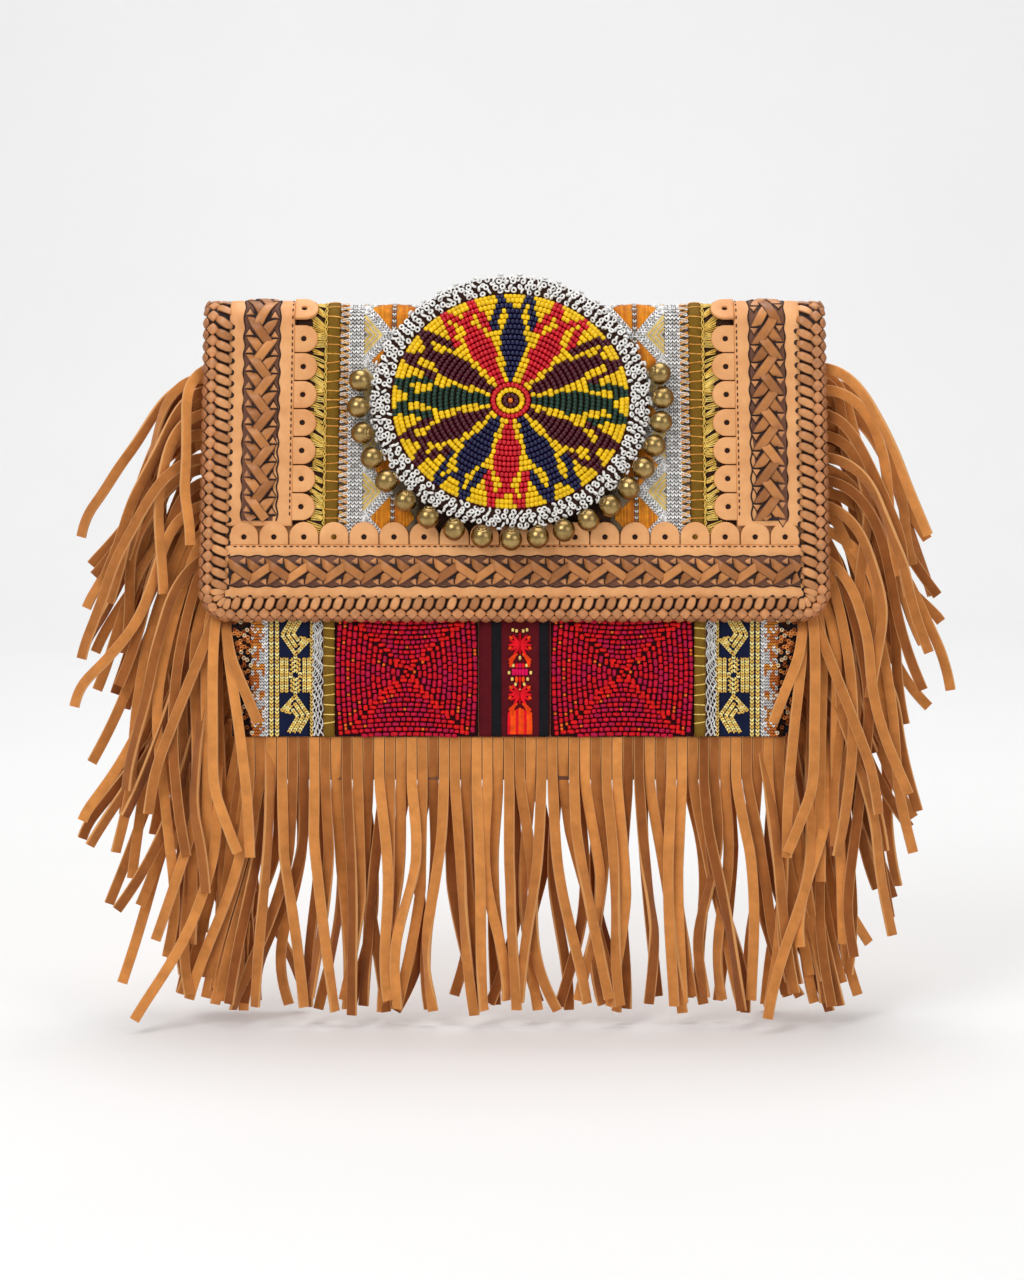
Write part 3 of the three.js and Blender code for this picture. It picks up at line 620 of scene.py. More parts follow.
def mix(tree, share, first, second, mode="MIX"):
    node = put(tree, "ShaderNodeMix", {0: share, 6: first, 7: second}, data_type="RGBA", blend_type=mode)
    return node.outputs[2]


# A colour made darker and lighter by a cloud
def clouded(tree, colour, cloud, dark, light):
    return mix(tree, 1.0, colour, mix(tree, cloud, (*dark, 1), (*light, 1)), "MULTIPLY")


def finish(name, **constants):
    material = bpy.data.materials.new(name)
    material.use_nodes = True
    tree = material.node_tree
    shader = tree.nodes["Principled BSDF"]
    for key, value in constants.items():
        shader.inputs[key.replace("_", " ")].default_value = value
    return material, tree, shader


# The end of every finish: its colour, its roughness by a cloud, and its relief
def dressed(parts, colour, surface, rough, smooth, strength, distance=0.0002):
    material, tree, shader = parts
    roughness = made(tree, "ShaderNodeMapRange", {
        "Value": surface["Cloud"], "To Min": rough, "To Max": smooth,
    })
    bump = made(tree, "ShaderNodeBump", {
        "Height": surface["Height"], "Strength": strength, "Distance": distance,
    })
    for label, made_of in (("Base Color", colour), ("Roughness", roughness), ("Normal", bump)):
        tree.links.new(made_of, shader.inputs[label])
    return material


def two_tone(name, light, dark, sizes, rough, smooth, strength, **constants):
    parts = finish(name, **constants)
    hide = grain(parts[1], *sizes)
    colour = mix(parts[1], hide["Cloud"], rgba(dark), rgba(light))
    return dressed(parts, colour, hide, rough, smooth, strength)


def smooth_hide(name, light, dark, roughness=0.46):
    return two_tone(name, light, dark, (46.0, 1500.0), roughness + 0.1, roughness - 0.04, 0.22,
                    Specular_IOR_Level=0.4)


def thong_hide(name, light, dark, rim, rim_from, roughness, sheen=0.0):
    parts = finish(name, Sheen_Weight=sheen, Specular_IOR_Level=0.35)
    tree = parts[1]
    hide, cut = grain(tree, 120.0, 1500.0), group(tree, CUT, {"Rim from": rim_from})
    tone = mix(tree, cut["Tone"], rgba(dark), rgba(light))
    body = clouded(tree, tone, hide["Cloud"], (0.78, 0.76, 0.73), (1.08, 1.07, 1.06))
    return dressed(parts, mix(tree, cut["Rim"], body, rgba(rim)), hide, roughness, roughness - 0.1, 0.3)


def thread(name, light, dark, roughness=0.4, metallic=0.0, shine=0.5):
    parts = finish(name, Metallic=metallic, Specular_IOR_Level=shine)
    tree = parts[1]
    hide, cut = grain(tree, 300.0, 2600.0), group(tree, CUT, {"Rim from": 0.4})
    tone = mix(tree, cut["Tone"], rgba(dark), rgba(light))
    body = clouded(tree, tone, hide["Cloud"], (0.7, 0.68, 0.64), (1.1, 1.1, 1.1))
    return dressed(parts, body, hide, roughness + 0.15, roughness, 0.35)


def cloth(name, light, dark, threads, roughness=0.75):
    parts = finish(name, Specular_IOR_Level=0.12)
    tree = parts[1]
    weave, hide = group(tree, WEAVE, {"Threads": threads}), grain(tree, 160.0, 2400.0)
    woven = mix(tree, weave["Cloud"], rgba(dark), rgba(light))
    body = clouded(tree, woven, hide["Cloud"], (0.78, 0.77, 0.76), (1.08, 1.08, 1.08))
    return dressed(parts, body, weave, roughness + 0.1, roughness - 0.05, 0.5, 0.0003)


# Glass, foil and leather copies that carry their own colour
def tinted(name, roughness, metallic=0.0, coat=0.0, depth=0.25, shine=0.5):
    parts = finish(name, Metallic=metallic, Coat_Weight=coat, Coat_Roughness=0.12, Specular_IOR_Level=shine)
    tree = parts[1]
    hide = grain(tree, 420.0, 1800.0)
    tint = put(tree, "ShaderNodeAttribute", attribute_name="tint").outputs["Color"]
    body = clouded(tree, tint, hide["Cloud"], (1 - depth,) * 3, (1.12,) * 3)
    return dressed(parts, body, hide, roughness + 0.14, roughness, 0.08, 0.0001)


TAN = smooth_hide("tan leather", (240, 177, 117), (213, 145, 88))
# Painted shade: a dark brown for the shaded band leather round each plait and for the fringe head behind the
# strips' roots
PAINTED_SHADE_BED = smooth_hide("plait bed", (120, 72, 46), (88, 50, 34), 0.55)
# Painted shade: this near-black leather stands in for the shade in slits, punched holes, gaps and beds, not
# for leather of that colour
SHADOW_HIDE = smooth_hide("painted shade leather", (52, 28, 21), (30, 15, 12), 0.7)
SUEDE = thong_hide("suede", (222, 145, 72), (140, 75, 23), (220, 158, 94), 0.78, 0.95, 0.2)
# The dark rim colours of the plait and lacing thongs are partly burnished edges and partly painted shade,
# where each rounded thong turns away and meets the next
PLAIT = thong_hide("plait leather", (212, 142, 80), (156, 96, 48), (60, 27, 19), 0.72, 0.38)
LACE_HIDE = thong_hide("lacing leather", (226, 160, 104), (178, 116, 68), (62, 30, 20), 0.66, 0.34)
BRASS = two_tone("aged brass", (180, 152, 99), (138, 111, 65), (260.0, 1400.0), 0.34, 0.22, 0.1, Metallic=1.0)
STITCH = thread("dark thread", (92, 58, 36), (64, 38, 24), 0.6)
GOLD_THREAD = thread("gold thread", (255, 226, 126), (232, 186, 74), 0.34, 0.12)
ORANGE_THREAD = thread("orange thread", (244, 176, 74), (218, 140, 44), 0.42)
SATIN = thread("orange satin", (240, 160, 24), (208, 118, 12), 0.36)
SILVER_THREAD = thread("silver thread", (244, 244, 244), (206, 205, 206), 0.3, 0.1)
PALE_THREAD = thread("pale thread", (240, 234, 222), (200, 188, 168), 0.3, 0.1)
RED_SILK = thread("red silk", (240, 14, 36), (222, 2, 26), 0.55, shine=0.15)
PINK_SILK = thread("pink silk", (232, 4, 96), (206, 0, 70), 0.55, shine=0.15)
FLAME_SILK = thread("flame silk", (255, 92, 8), (240, 50, 6), 0.55, shine=0.15)
OLIVE = cloth("olive ribbon", (142, 106, 30), (100, 72, 14), 1500.0, 0.55)
DARK_CLOTH = cloth("dark cloth", (72, 44, 32), (40, 24, 20), 1200.0)
SILVER_CLOTH = cloth("silver cloth", (120, 104, 86), (70, 56, 44), 1300.0, 0.5)
WHITE_CLOTH = cloth("white cloth", (150, 134, 110), (96, 82, 62), 1300.0, 0.5)
NAVY_CLOTH = cloth("navy cloth", (24, 34, 70), (12, 18, 40), 1600.0)
MAROON_CLOTH = cloth("maroon cloth", (106, 18, 28), (70, 10, 20), 1500.0)
DEEP_RED_CLOTH = cloth("deep red cloth", (56, 4, 14), (28, 2, 8), 1500.0)
BLACK_CLOTH = cloth("black ribbon", (30, 29, 34), (14, 14, 18), 1500.0)
PAD_HIDE = tinted("lacing pads", 0.36, depth=0.3)
KNIT = tinted("knitted thread", 0.34, metallic=0.1, depth=0.18)
GLASS = tinted("glass beads", 0.24, coat=0.16, shine=0.3)
WHITE_GLASS = tinted("white beads", 0.2, coat=0.4, depth=0.04)
SILK_BEADS = tinted("red beads", 0.5, depth=0.35, shine=0.22)
FOIL = tinted("copper sequins", 0.24, metallic=0.9)


# The leather body: back, fold and flap in one sheet
def rounding(into, radius):
    depth = clamp(into, 0, radius)
    return radius - math.sqrt(radius ** 2 - depth ** 2)


def half_width(down):
    if down < BACK_START:
        share = (down - BACK_START) / (BACK_END - BACK_START)
        width = lerp(FLAP_WIDTH, BACK_WIDTH_BOTTOM, share) / 2
        return width - rounding(BACK_END + BACK_CORNER_RADIUS - down, BACK_CORNER_RADIUS)
    return HALF_FLAP - rounding(down - FLAP_LENGTH + CORNER_RADIUS, CORNER_RADIUS)


def flap_and_back():
    columns = [-1, -0.996] + spread(-0.98, 0.98, 48) + [0.996, 1]
    corner = [BACK_END + BACK_CORNER_RADIUS * (1 - math.cos(a * math.pi / 16)) for a in range(9)]
    rows = corner + spread(BACK_END + BACK_CORNER_RADIUS + 4, BACK_START, 36)
    rows += spread(BACK_START, FRONT_START, 20)[1:]
    rows += spread(FRONT_START, FLAP_LENGTH - CORNER_RADIUS, 36)[1:]
    rows += [FLAP_LENGTH - CORNER_RADIUS * (1 - math.sin(a * math.pi / 20)) for a in range(1, 11)]

    def place(u, down, height):
        ripple = 0.35 * math.sin(3.1 * u + down * 0.037) * math.sin(down * 0.021 + 4.2 * u)
        slack = ripple * ease(-down, 20, 60)
        return on_flap(u * half_width(down), down, height + slack)

    slab("leather_flap_and_back", "leather", ["flap_and_back"], place, columns, rows, -LEATHER, 0, TAN, 0.7)


def pouch_walls():
    columns = [-HALF_PANEL, -HALF_PANEL + 0.6] + spread(-130, 130, 40) + [HALF_PANEL - 0.6, HALF_PANEL]
    rows = [PANEL_TOP, PANEL_TOP + 0.6] + spread(26, PANEL_END - 4, 36) + [PANEL_END - 0.6, PANEL_END]
    slab("pouch_front", "leather", ["front_panel"], on_panel, columns, rows, -PANEL_LEATHER, 0, TAN, 0.5)
    back = FOLD_RADIUS - LEATHER - GAP
    bottom = POUCH_BOTTOM + GAP
    shares = [0, 0.03] + spread(0.1, 0.9, 10) + [0.97, 1]
    heights = [GUSSET_TOP, GUSSET_TOP - 1] + spread(-36, bottom + 6, 24) + [bottom + 1, bottom]

    def front_at(x, z):
        return on_panel(x, down_at(z), -PANEL_LEATHER - GAP).y

    for word, sign, _ in SIDES:
        def place(share, z, height, sign=sign):
            dip = 1.2 * math.sin(math.pi * share)
            front = front_at(GUSSET_INSIDE + 2, z)
            return Vector((sign * (GUSSET_INSIDE + height - dip), lerp(back, front, share), z))

        slab("gusset_leather_" + word, "leather", ["gusset_" + word], place, shares, heights, 0, 2, TAN, 0.3)
    reach = GUSSET_INSIDE - GAP

    def floor_place(x, share, height):
        front = front_at(x, bottom + PANEL_LEATHER) + GAP
        return Vector((x, lerp(back, front, share), bottom + height))

    slab("base_leather", "leather", ["base_panel"], floor_place, spread(-reach, reach, 40), shares, 0, 2,
         TAN, 0.3)


# Leather puckers along both sides of a plait, by the distance from the plait's middle
def pucker(off, half, depth, wave):
    near = (abs(off) - half) / 2.6
    return depth * math.sin(math.pi * near / 2) * (0.6 + 0.4 * math.sin(wave)) if 0 < near < 2 else 0.0


# Scalloped bands: a plain strip, then tongues with punched holes laid along its inner edge
def scallop_bands():
    outer = HALF_FLAP - BAND_EDGE
    under = outer + 1.8
    punched = []

    def band(word, place, columns, rows, shape, spots):
        slab("scallop_band_leather_" + word, "leather", ["scallop_band_" + word], place, columns, rows,
             BAND_BASE, BAND_TOP, TAN, 0.35)
        copies("scallops_" + word, "leather", [], shape, spots, TAN)

    pitch = (SIDE_TO - SIDE_FROM) / SIDE_COUNT
    middles = [SIDE_FROM + (k + 0.5) * pitch for k in range(-2, SIDE_COUNT)]
    columns = [under, under - 0.5] + spread(outer - 2, SCALLOP_NOTCH + 1, 22) + [SCALLOP_NOTCH]
    rows = [TRIM_START, TRIM_START + 0.6] + spread(TRIM_START + 2, SIDE_TO + 2.5, 120)
    for word, sign, _ in SIDES:
        def place(across, down, height, sign=sign):
            lift = pucker(across - SIDE_BRAID_CENTRE, 9.1, 0.45, down * 0.752)
            return on_flap(sign * across, down, height + lift * (height > BAND_BASE + 1))

        band(word, place, columns, rows, tongue(pitch, SCALLOP_NOTCH - SCALLOP_TIP),
             [spot_on(on_flap, sign * SCALLOP_NOTCH, middle, BAND_BASE, sign * math.pi / 2)
              for middle in middles])
        punched += [spot_on(on_flap, sign * (SCALLOP_TIP + pitch / 2), middle, BAND_BASE - 0.1)
                    for middle in middles]
    lower = FLAP_LENGTH - BAND_EDGE
    pitch = 2 * outer / BOTTOM_COUNT
    middles = [(k + 0.5) * pitch - outer for k in range(BOTTOM_COUNT)]
    columns = [-under, -under + 0.5] + spread(-outer + 2, outer - 2, 160) + [under - 0.5, under]
    rows = [BOTTOM_NOTCH] + spread(BOTTOM_NOTCH + 1, lower, 24) + [lower + 3.2, lower + 3.6]

    def bottom_place(across, down, height):
        lift = pucker(down - BOTTOM_BRAID_CENTRE, 7.6, 0.6, across * 0.71)
        return on_flap(across, down, height + 0.25 + lift * (height > BAND_BASE + 1))

    band("bottom", bottom_place, columns, rows, tongue(pitch, BOTTOM_NOTCH - BOTTOM_TIP),
         [spot_on(on_flap, middle, BOTTOM_NOTCH, BAND_BASE + 0.35) for middle in middles])
    punched += [spot_on(on_flap, middle, BOTTOM_TIP + pitch / 2, BAND_BASE + 0.2) for middle in middles]
    # Dark discs under the punched holes: painted shade in the holes
    disc = turned("punched", [(0.0, 0.25), (1.6, 0.25), (2.2, 0.0), (2.0, -0.3)], 12)
    copies("punched_holes", "braid_leather", [], disc, punched, SHADOW_HIDE)


def paced(start, end, step):
    while (start < end) == (step > 0):
        yield start
        start += step


def seams():
    upright = math.pi / 2
    spots = [spot_on(on_flap, sign * 108.1, down, BAND_TOP + 0.05, upright) for sign in (-1, 1)
             for down in paced(TRIM_START + 2, BOTTOM_TIP - 1, STITCH_PITCH)]
    spots += [spot_on(on_flap, across, BOTTOM_NOTCH + 0.9, BAND_TOP + 0.35)
              for across in paced(-134.0, 134.0, STITCH_PITCH)]
    spots += [spot_on(on_flap, sign * (half_width(down) - 5), down, 0.1, upright) for sign in (-1, 1)
              for down in paced(BACK_START - 6, BACK_END + 5, -BACK_STITCH_PITCH)]
    spots += [spot_on(on_flap, across, BACK_END + 5, 0.1)
              for across in paced(-130.0, 130.0, BACK_STITCH_PITCH)]
    copies("band_stitches", "braid_leather", [], pill("stitch", 2.0, 0.75, 0.5), spots, STITCH)


# Over the fold the plaits and the lacing lie pressed flat
def pressed(down):
    return lerp(0.3, 1, ease(down, 3, 17))


# Plaits: from slits at both edges one long and one short strip run in to the middle, where each
# tucks under the long strip that comes the other way
LONG_STRIP = (-0.4, 1.0, 1.7, 2.0, 2.0, 1.7, 1.1, 0.5)
SHORT_STRIP = (-0.4, 1.0, 1.45, 1.4, 0.95, 0.5)


def plait(name, chart, base, start, end, point, half, pitch, width, lean, upright):
    run, rise = math.sin(lean), math.cos(lean)
    slit = half - 0.48 * width / rise
    first = start if point > 0 else end
    strips = []
    slits = []
    wedges = []

    def lay(side, along, height):
        across, down = chart(side, along)
        return on_flap(across, down, BAND_TOP + (base + height) * pressed(down))

    def strip(side, at, length, heights, index):
        points, facing, slant = [], [], []
        for k, height in enumerate(heights):
            far = length * k / (len(heights) - 1)
            across, along = side * (slit - far * run), at + point * far * rise
            if start <= along <= end:
                here = lay(across, along, height)
                out = (lay(across, along, height + 1) - here).normalized()
                ahead = (lay(across - side * run, along + point * rise, height) - here).normalized()
                inner = lay(across - side, along, height) - here
                sense = math.copysign(1, ahead.cross(out).dot(inner))
                points.append(here)
                facing.append(out)
                slant.append(ahead * (sense * width / 2 * math.tan(lean) * max(0.0, 1 - far / 5)))
        if len(points) > 2:
            girth = [1.0] * len(points)
            girth[0] = 0.82
            strips.append(path(points, facing, wobble(index, 31 + side), girth, slant))

    for k in range(-2, int((end - start) / pitch) + 3):
        for side in (-1, 1):
            at = first + point * (k * pitch + (1.2 if side > 0 else 0.0))
            if (k % 2 == 0) == (side < 0):
                strip(side, at, slit / run + pitch / (2 * rise), LONG_STRIP, k)
            else:
                strip(side, at, slit / run + 0.7, SHORT_STRIP, k + 77)
            if start < at < end:
                turn = (point * math.pi / 2) if upright else math.pi
                tint = toned(rgb(206, 140, 86), 1 + 0.12 * wobble(k, 33 + side))
                slit_at = chart(side * (half - 2.3), at - point * 0.25)
                slits.append(spot_on(on_flap, *slit_at, BAND_TOP + 0.2, 0 if upright else math.pi / 2))
                wedge_at = chart(side * (half - 2.2), at - point * 0.75)
                wedges.append(spot_on(on_flap, *wedge_at, BAND_TOP + 0.15, turn, tint=tint))
    # The dark slit grains and the dark triangles under the wedges are painted shade in the slits and round
    # the wedges
    gaps = [(place, turn, (1.4, 1.36, 0.5), tint) for place, turn, _, tint in wedges]
    thongs("plait_" + name, "braid_leather", ["braid_" + name], strips, PLAIT, width, 1.15, 0.5, 2)
    for label, shape, spots, leather in (
        ("plait_slits_", pill("slit", 4.8, 1.2, 1.1), slits, SHADOW_HIDE),
        ("plait_wedges_", wedge("wedge", 3.3, 4.1, 0.75), wedges, PAD_HIDE),
        ("plait_gaps_", wedge("gap", 3.0, 3.6, 0.75), gaps, SHADOW_HIDE),
    ):
        copies(label + name, "braid_leather", [], shape, spots, leather)
    alongs = spread(start, end, 150)

    # A path along the plait, to one side of its middle, with a wave as long as the pitch
    def lengthwise(side, wave, height):
        offs = [side + wave * math.sin(2 * math.pi * at / pitch) for at in alongs]
        points = [lay(off, at, height) for off, at in zip(offs, alongs)]
        return path(points, [(lay(off, at, height + 1) - here).normalized()
                             for off, at, here in zip(offs, alongs, points)])

    # Under and beside the plait, painted shade: a dark brown bed, a near-black core that shows between the
    # strips, and a dark wavy line along each edge
    edges = [lengthwise(side * (half + 0.25), side * 0.4, -0.2) for side in (-1, 1)]
    for label, paths, leather, section in (
        ("plait_bed_", [lengthwise(0, 0, -0.25)], PAINTED_SHADE_BED, (2 * half, 0.5, 0.1)),
        ("plait_core_", [lengthwise(0, 0, 0.05)], SHADOW_HIDE, (half * 1.05, 0.5, 0.1)),
        ("plait_edges_", edges, SHADOW_HIDE, (0.75, 0.6, 0.2)),
    ):
        thongs(label + name, "braid_leather", [], paths, leather, *section, 1)


def plaits():
    for word, sign, _ in SIDES:
        plait(word, lambda side, along, sign=sign: (sign * SIDE_BRAID_CENTRE + side, along), 0.35,
              TRIM_START, SIDE_BRAID_END + 0.4, -sign, 8.3, 8.45, 4.85, math.radians(37.3), True)
    plait("bottom", lambda side, along: (along, BOTTOM_BRAID_CENTRE - 0.4 + side), 0.6,
          -BOTTOM_BRAID_HALF - 4, BOTTOM_BRAID_HALF + 4, 1, 6.95, 8.96, 4.5, math.radians(34.4), False)


# Lacing round the flap's edge. Along the edge, from the top left to the top right: across, down and
# the way in
EDGE_LEG = FLAP_LENGTH - CORNER_RADIUS - TRIM_START
EDGE_ARC = CORNER_RADIUS * math.pi / 2
EDGE_FOOT = FLAP_WIDTH - 2 * CORNER_RADIUS
EDGE_LENGTH = 2 * EDGE_LEG + 2 * EDGE_ARC + EDGE_FOOT


def on_edge(run):
    run = clamp(run, 0, EDGE_LENGTH)
    straight = FLAP_LENGTH - CORNER_RADIUS
    if run < EDGE_LEG:
        return -HALF_FLAP, TRIM_START + run, 1, 0
    run -= EDGE_LEG
    if run < EDGE_ARC:
        c, s = math.cos(run / CORNER_RADIUS), math.sin(run / CORNER_RADIUS)
        return -HALF_FLAP + CORNER_RADIUS * (1 - c), straight + CORNER_RADIUS * s, c, -s
    run -= EDGE_ARC
    if run < EDGE_FOOT:
        return -HALF_FLAP + CORNER_RADIUS + run, FLAP_LENGTH, 0, -1
    run -= EDGE_FOOT
    if run < EDGE_ARC:
        c, s = math.cos(run / CORNER_RADIUS), math.sin(run / CORNER_RADIUS)
        return HALF_FLAP - CORNER_RADIUS * (1 - s), straight + CORNER_RADIUS * c, -s, -c
    return HALF_FLAP, straight - (run - EDGE_ARC), -1, 0


# One thong of the lacing: how far ahead, how far in, its height, and its lean inwards
LACE_STEPS = ((1, 12.6, 2.9, 0.5), (0.85, 11.9, 3.9, 0.35), (0.5, 10.3, 4.6, 0.15), (0, 8.5, 4.9, 0),
              (-0.5, 6.8, 4.6, -0.15), (-0.85, 5.6, 3.9, -0.35), (-1, 5.0, 3.0, -0.5))
LACE_GIRTH = (0.45, 0.8, 1.0, 1.06, 1.0, 0.84, 0.55)
# The inset that the lacing shrinks towards, and its share of the full depth along the bottom
LACE_FOOT, LACE_BOTTOM = 2.9, 0.74


def lacing():
    count = round(EDGE_LENGTH / LACE_PITCH)
    pitch = EDGE_LENGTH / count

    def lay(run, inset, height):
        across, down, inward_across, inward_down = on_edge(run)
        flat = height if height < 1 else 1 + (height - 1) * pressed(down)
        return on_flap(across + inset * inward_across, down + inset * inward_down, flat)

    def pad_spot(run, inset, height, tip, index, hue, depth=1.0):
        here = lay(run, inset, height)
        ahead = (lay(run + 0.6, inset, height) - lay(run - 0.6, inset, height)).normalized()
        inward = (lay(run, inset + 0.6, height) - lay(run, inset - 0.6, height)).normalized()
        out = inward.cross(ahead)
        if out.dot(lay(run, inset, height + 1) - here) < 0:
            out = -out
        lean = Matrix.Rotation(tip, 3, ahead)
        if (lean @ out).dot(inward) > 0:
            lean = Matrix.Rotation(-tip, 3, ahead)
        out = lean @ out
        tint = toned(hue, 1 + 0.16 * wobble(index, 62))
        return spot(here, framed(ahead.cross(out), ahead, out), 0.1 * wobble(index, 63), (depth, 1, 1), tint)

    def depth_at(run):
        near = min(run, EDGE_LENGTH - run) - EDGE_LEG
        corner = max(0.0, 1 - abs(near - EDGE_ARC / 2) / (EDGE_ARC / 2 + 4))
        return lerp(1, LACE_BOTTOM, ease(near, 0, EDGE_ARC)) - 0.2 * corner, corner

    groups = {"left": [], "bottom": [], "right": []}
    diamonds, slivers, holes = [], [], []
    for k in range(count):
        run = (k + 0.5) * pitch
        scale, corner = depth_at(run)
        full = (scale + 0.2 * corner - LACE_BOTTOM) / (1 - LACE_BOTTOM)
        lean = 1.7 * (1 - 0.6 * corner) * lerp(0.7, 1, full)
        foot = LACE_FOOT * (1 - scale)
        points, facing = [], []
        for lag, inset, height, inset_out in LACE_STEPS:
            at, deep = run + lean * lag, inset * scale + foot
            here = lay(at, deep, height)
            points.append(here)
            facing.append((lay(at, deep + inset_out, height + 1) - here).normalized())
        girth = [g * lerp(1, 0.48 + 0.05 * n, corner) for n, g in enumerate(LACE_GIRTH)]
        word = "left" if run < EDGE_LEG else "right" if run > EDGE_LENGTH - EDGE_LEG else "bottom"
        groups[word].append(path(points, facing, wobble(k, 61), girth))
        between = run + pitch / 2
        flat = depth_at(between)[0]
        diamonds.append(pad_spot(between, 3.1 * flat, 2.7, 0.2, k, rgb(202, 136, 84), lerp(0.62, 1, flat)))
        slivers.append(pad_spot(run, -0.1, 1.3, 1.05, k + 400, rgb(172, 110, 66)))
        across, down, inward_across, inward_down = on_edge(run + lean)
        inset = LACE_STEPS[0][1] * scale + foot + 0.1
        holes.append(spot_on(on_flap, across + inset * inward_across, down + inset * inward_down,
                             BAND_TOP * lerp(0.55, 1, ease(down, 3, 17)) + 0.15))
    for word, paths in groups.items():
        thongs("lacing_thongs_" + word, "braid_leather", ["lacing_" + word], paths, LACE_HIDE,
               4.2, 1.9, 0.9, 3)
    # Dark discs at the lace holes: painted shade in the holes
    disc = turned("lace_hole", [(0.0, 0.3), (1.1, 0.28), (1.4, 0.0), (1.3, -0.8)], 10)
    for name, shape, spots, leather in (
        ("lacing_diamonds", pad("diamond", 3.15, 3.0, 1.7, 1.22), diamonds, PAD_HIDE),
        ("lacing_edge_pads", pad("edge_pad", 2.7, 2.9, 1.3, 1.25), slivers, PAD_HIDE),
        ("lacing_holes", disc, holes, SHADOW_HIDE),
    ):
        copies(name, "braid_leather", [], shape, spots, leather)
    # A near-black bed under the lacing: painted shade in the gaps between its thongs
    bed = []
    for inset, height in ((9.0, 1.9), (5.2, 2.1), (1.9, 1.7)):
        marks = [(run, inset * depth_at(run)[0]) for run in spread(0, EDGE_LENGTH, 150)]
        points = [lay(*mark, height) for mark in marks]
        bed.append(path(points, [(lay(*mark, height + 1) - here).normalized()
                                 for mark, here in zip(marks, points)]))
    thongs("lacing_bed", "braid_leather", [], bed, SHADOW_HIDE, 4.2, 2.0, 0.3, 1)


# Fringe
def hang_at(table, share):
    for above, below in zip(table, table[1:]):
        if share <= below[0]:
            part = (share - above[0]) / (below[0] - above[0])
            return [lerp(a, b, part) for a, b in zip(above[1:], below[1:])]


def side_strip(row, index, sign, salt):
    def vary(purpose):
        return wobble(index, salt + purpose)

    seam = row["top"] - row["bottom"]
    pitch = seam / row["count"]
    middle = (index + 0.5) * pitch
    share = middle / seam
    start, end, bend, forward, length = hang_at(row["hang"], share)
    start += 44 * ease(share, 0.3, 0.7) * (1 - ease(share, 0.8, 1.0))
    number = index % len(row["layers"])
    layer = row["layers"][number]
    end = max(end + row["scatter"] * wobble(number, salt) + 10 * vary(41), 64)
    bend *= 1 + 0.35 * vary(42)
    stretch = length / SIDE_STRIP_LENGTH * (0.97 + 0.1 * vary(2))
    seam_y = lerp(*row["y"], share)
    bow, waves, spin = 6.5 * vary(9), 1.35 + 0.6 * vary(10), 1.1 * vary(5)
    swing, kink, kink_at = 9.0 * vary(11), 17.0 * vary(43) - 7, 0.52 + 0.2 * vary(44)
    points = [Vector((sign * (SIDE_ROOT - SIDE_HEAD), seam_y, row["top"] - middle))]
    facing = [Vector((0, -1, 0))]
    girth = [0.8]
    out = fall = 0.0
    steps = 34
    size = SIDE_STRIP_LENGTH / steps

    def heading(where):
        flick = 9 * ease(where / length, 0.6, 1) + swing * ease(where / length, 0.2, 0.7)
        flick += kink * ease(where / length, kink_at - 0.1, kink_at + 0.1)
        return math.radians(end + (start - end) * math.exp(-(where / bend) ** 2) - flick)

    for k in range(steps + 1):
        down = k * size
        at = down * stretch
        free = max(0.0, down - STRIP_FREE_FROM) / (SIDE_STRIP_LENGTH - STRIP_FREE_FROM)
        depth = min(1, 0.45 * down / STRIP_FREE_FROM)
        if down > STRIP_FREE_FROM:
            depth += 0.55 * min(1, free * 5)
        sway = bow * math.sin(math.pi * free * waves) * free ** 0.8
        turn = spin * math.sin(math.pi * min(1, 0.25 + free) * waves * 0.8) * min(1, 3 * free)
        psi = heading(at)
        across = Vector((-math.sin(psi), 0, -math.cos(psi)))
        reach = SIDE_ROOT + out + sway * math.sin(psi)
        if reach > SIDE_REACH:
            reach = SIDE_REACH + SIDE_REACH_EASE * (1 - math.exp((SIDE_REACH - reach) / SIDE_REACH_EASE))
        z = row["top"] - middle - fall + sway * math.cos(psi)
        points.append(Vector((sign * reach, seam_y + layer * depth - forward * free, z)))
        tilt = Vector((0, -math.cos(turn), 0)) + across * math.sin(turn)
        facing.append(Vector((sign * tilt.x, tilt.y, tilt.z)))
        tied = clamp((pitch * math.cos(psi) + 0.4) / STRIP_WIDTH, 0.72, 1.0)
        girth.append(1.0 if down > STRIP_FREE_FROM else tied)
        half_step = heading(at + size * stretch / 2)
        out += math.cos(half_step) * size * stretch
        fall += math.sin(half_step) * size * stretch
    return path(points, facing, vary(13), girth)


def turned_face(turn):
    return Vector((math.sin(turn), -math.cos(turn), 0))
# Strips that hang close at the pouch's lower corner, between the side fringe and the bottom one
CORNER_STRIPS = 10


def corner_strip(index, sign, salt):
    share = index / (CORNER_STRIPS - 1)
    root = lerp(137.2, 118.0, share)
    seam_y = lerp(-10, -26, share)
    lean = lerp(30, 12, share) + 7 * wobble(index, salt + 31)
    long = 128 + 9 * wobble(index, salt + 32)
    curl = 5.0 * wobble(index, salt + 33)
    points, facing = [], []
    for free in spread(0, 1, 24):
        x = root + lean * free ** 1.3 + curl * math.sin(math.pi * 1.6 * free)
        y = seam_y - 8 * free + 3 * math.sin(2.2 * free + index)
        points.append(Vector((sign * x, y, POUCH_BOTTOM + 4 - long * free)))
        facing.append(turned_face(0.9 * wobble(index, salt + 34) * math.sin(math.pi * 1.3 * free)))
    return path(points, facing, wobble(index, salt + 35))


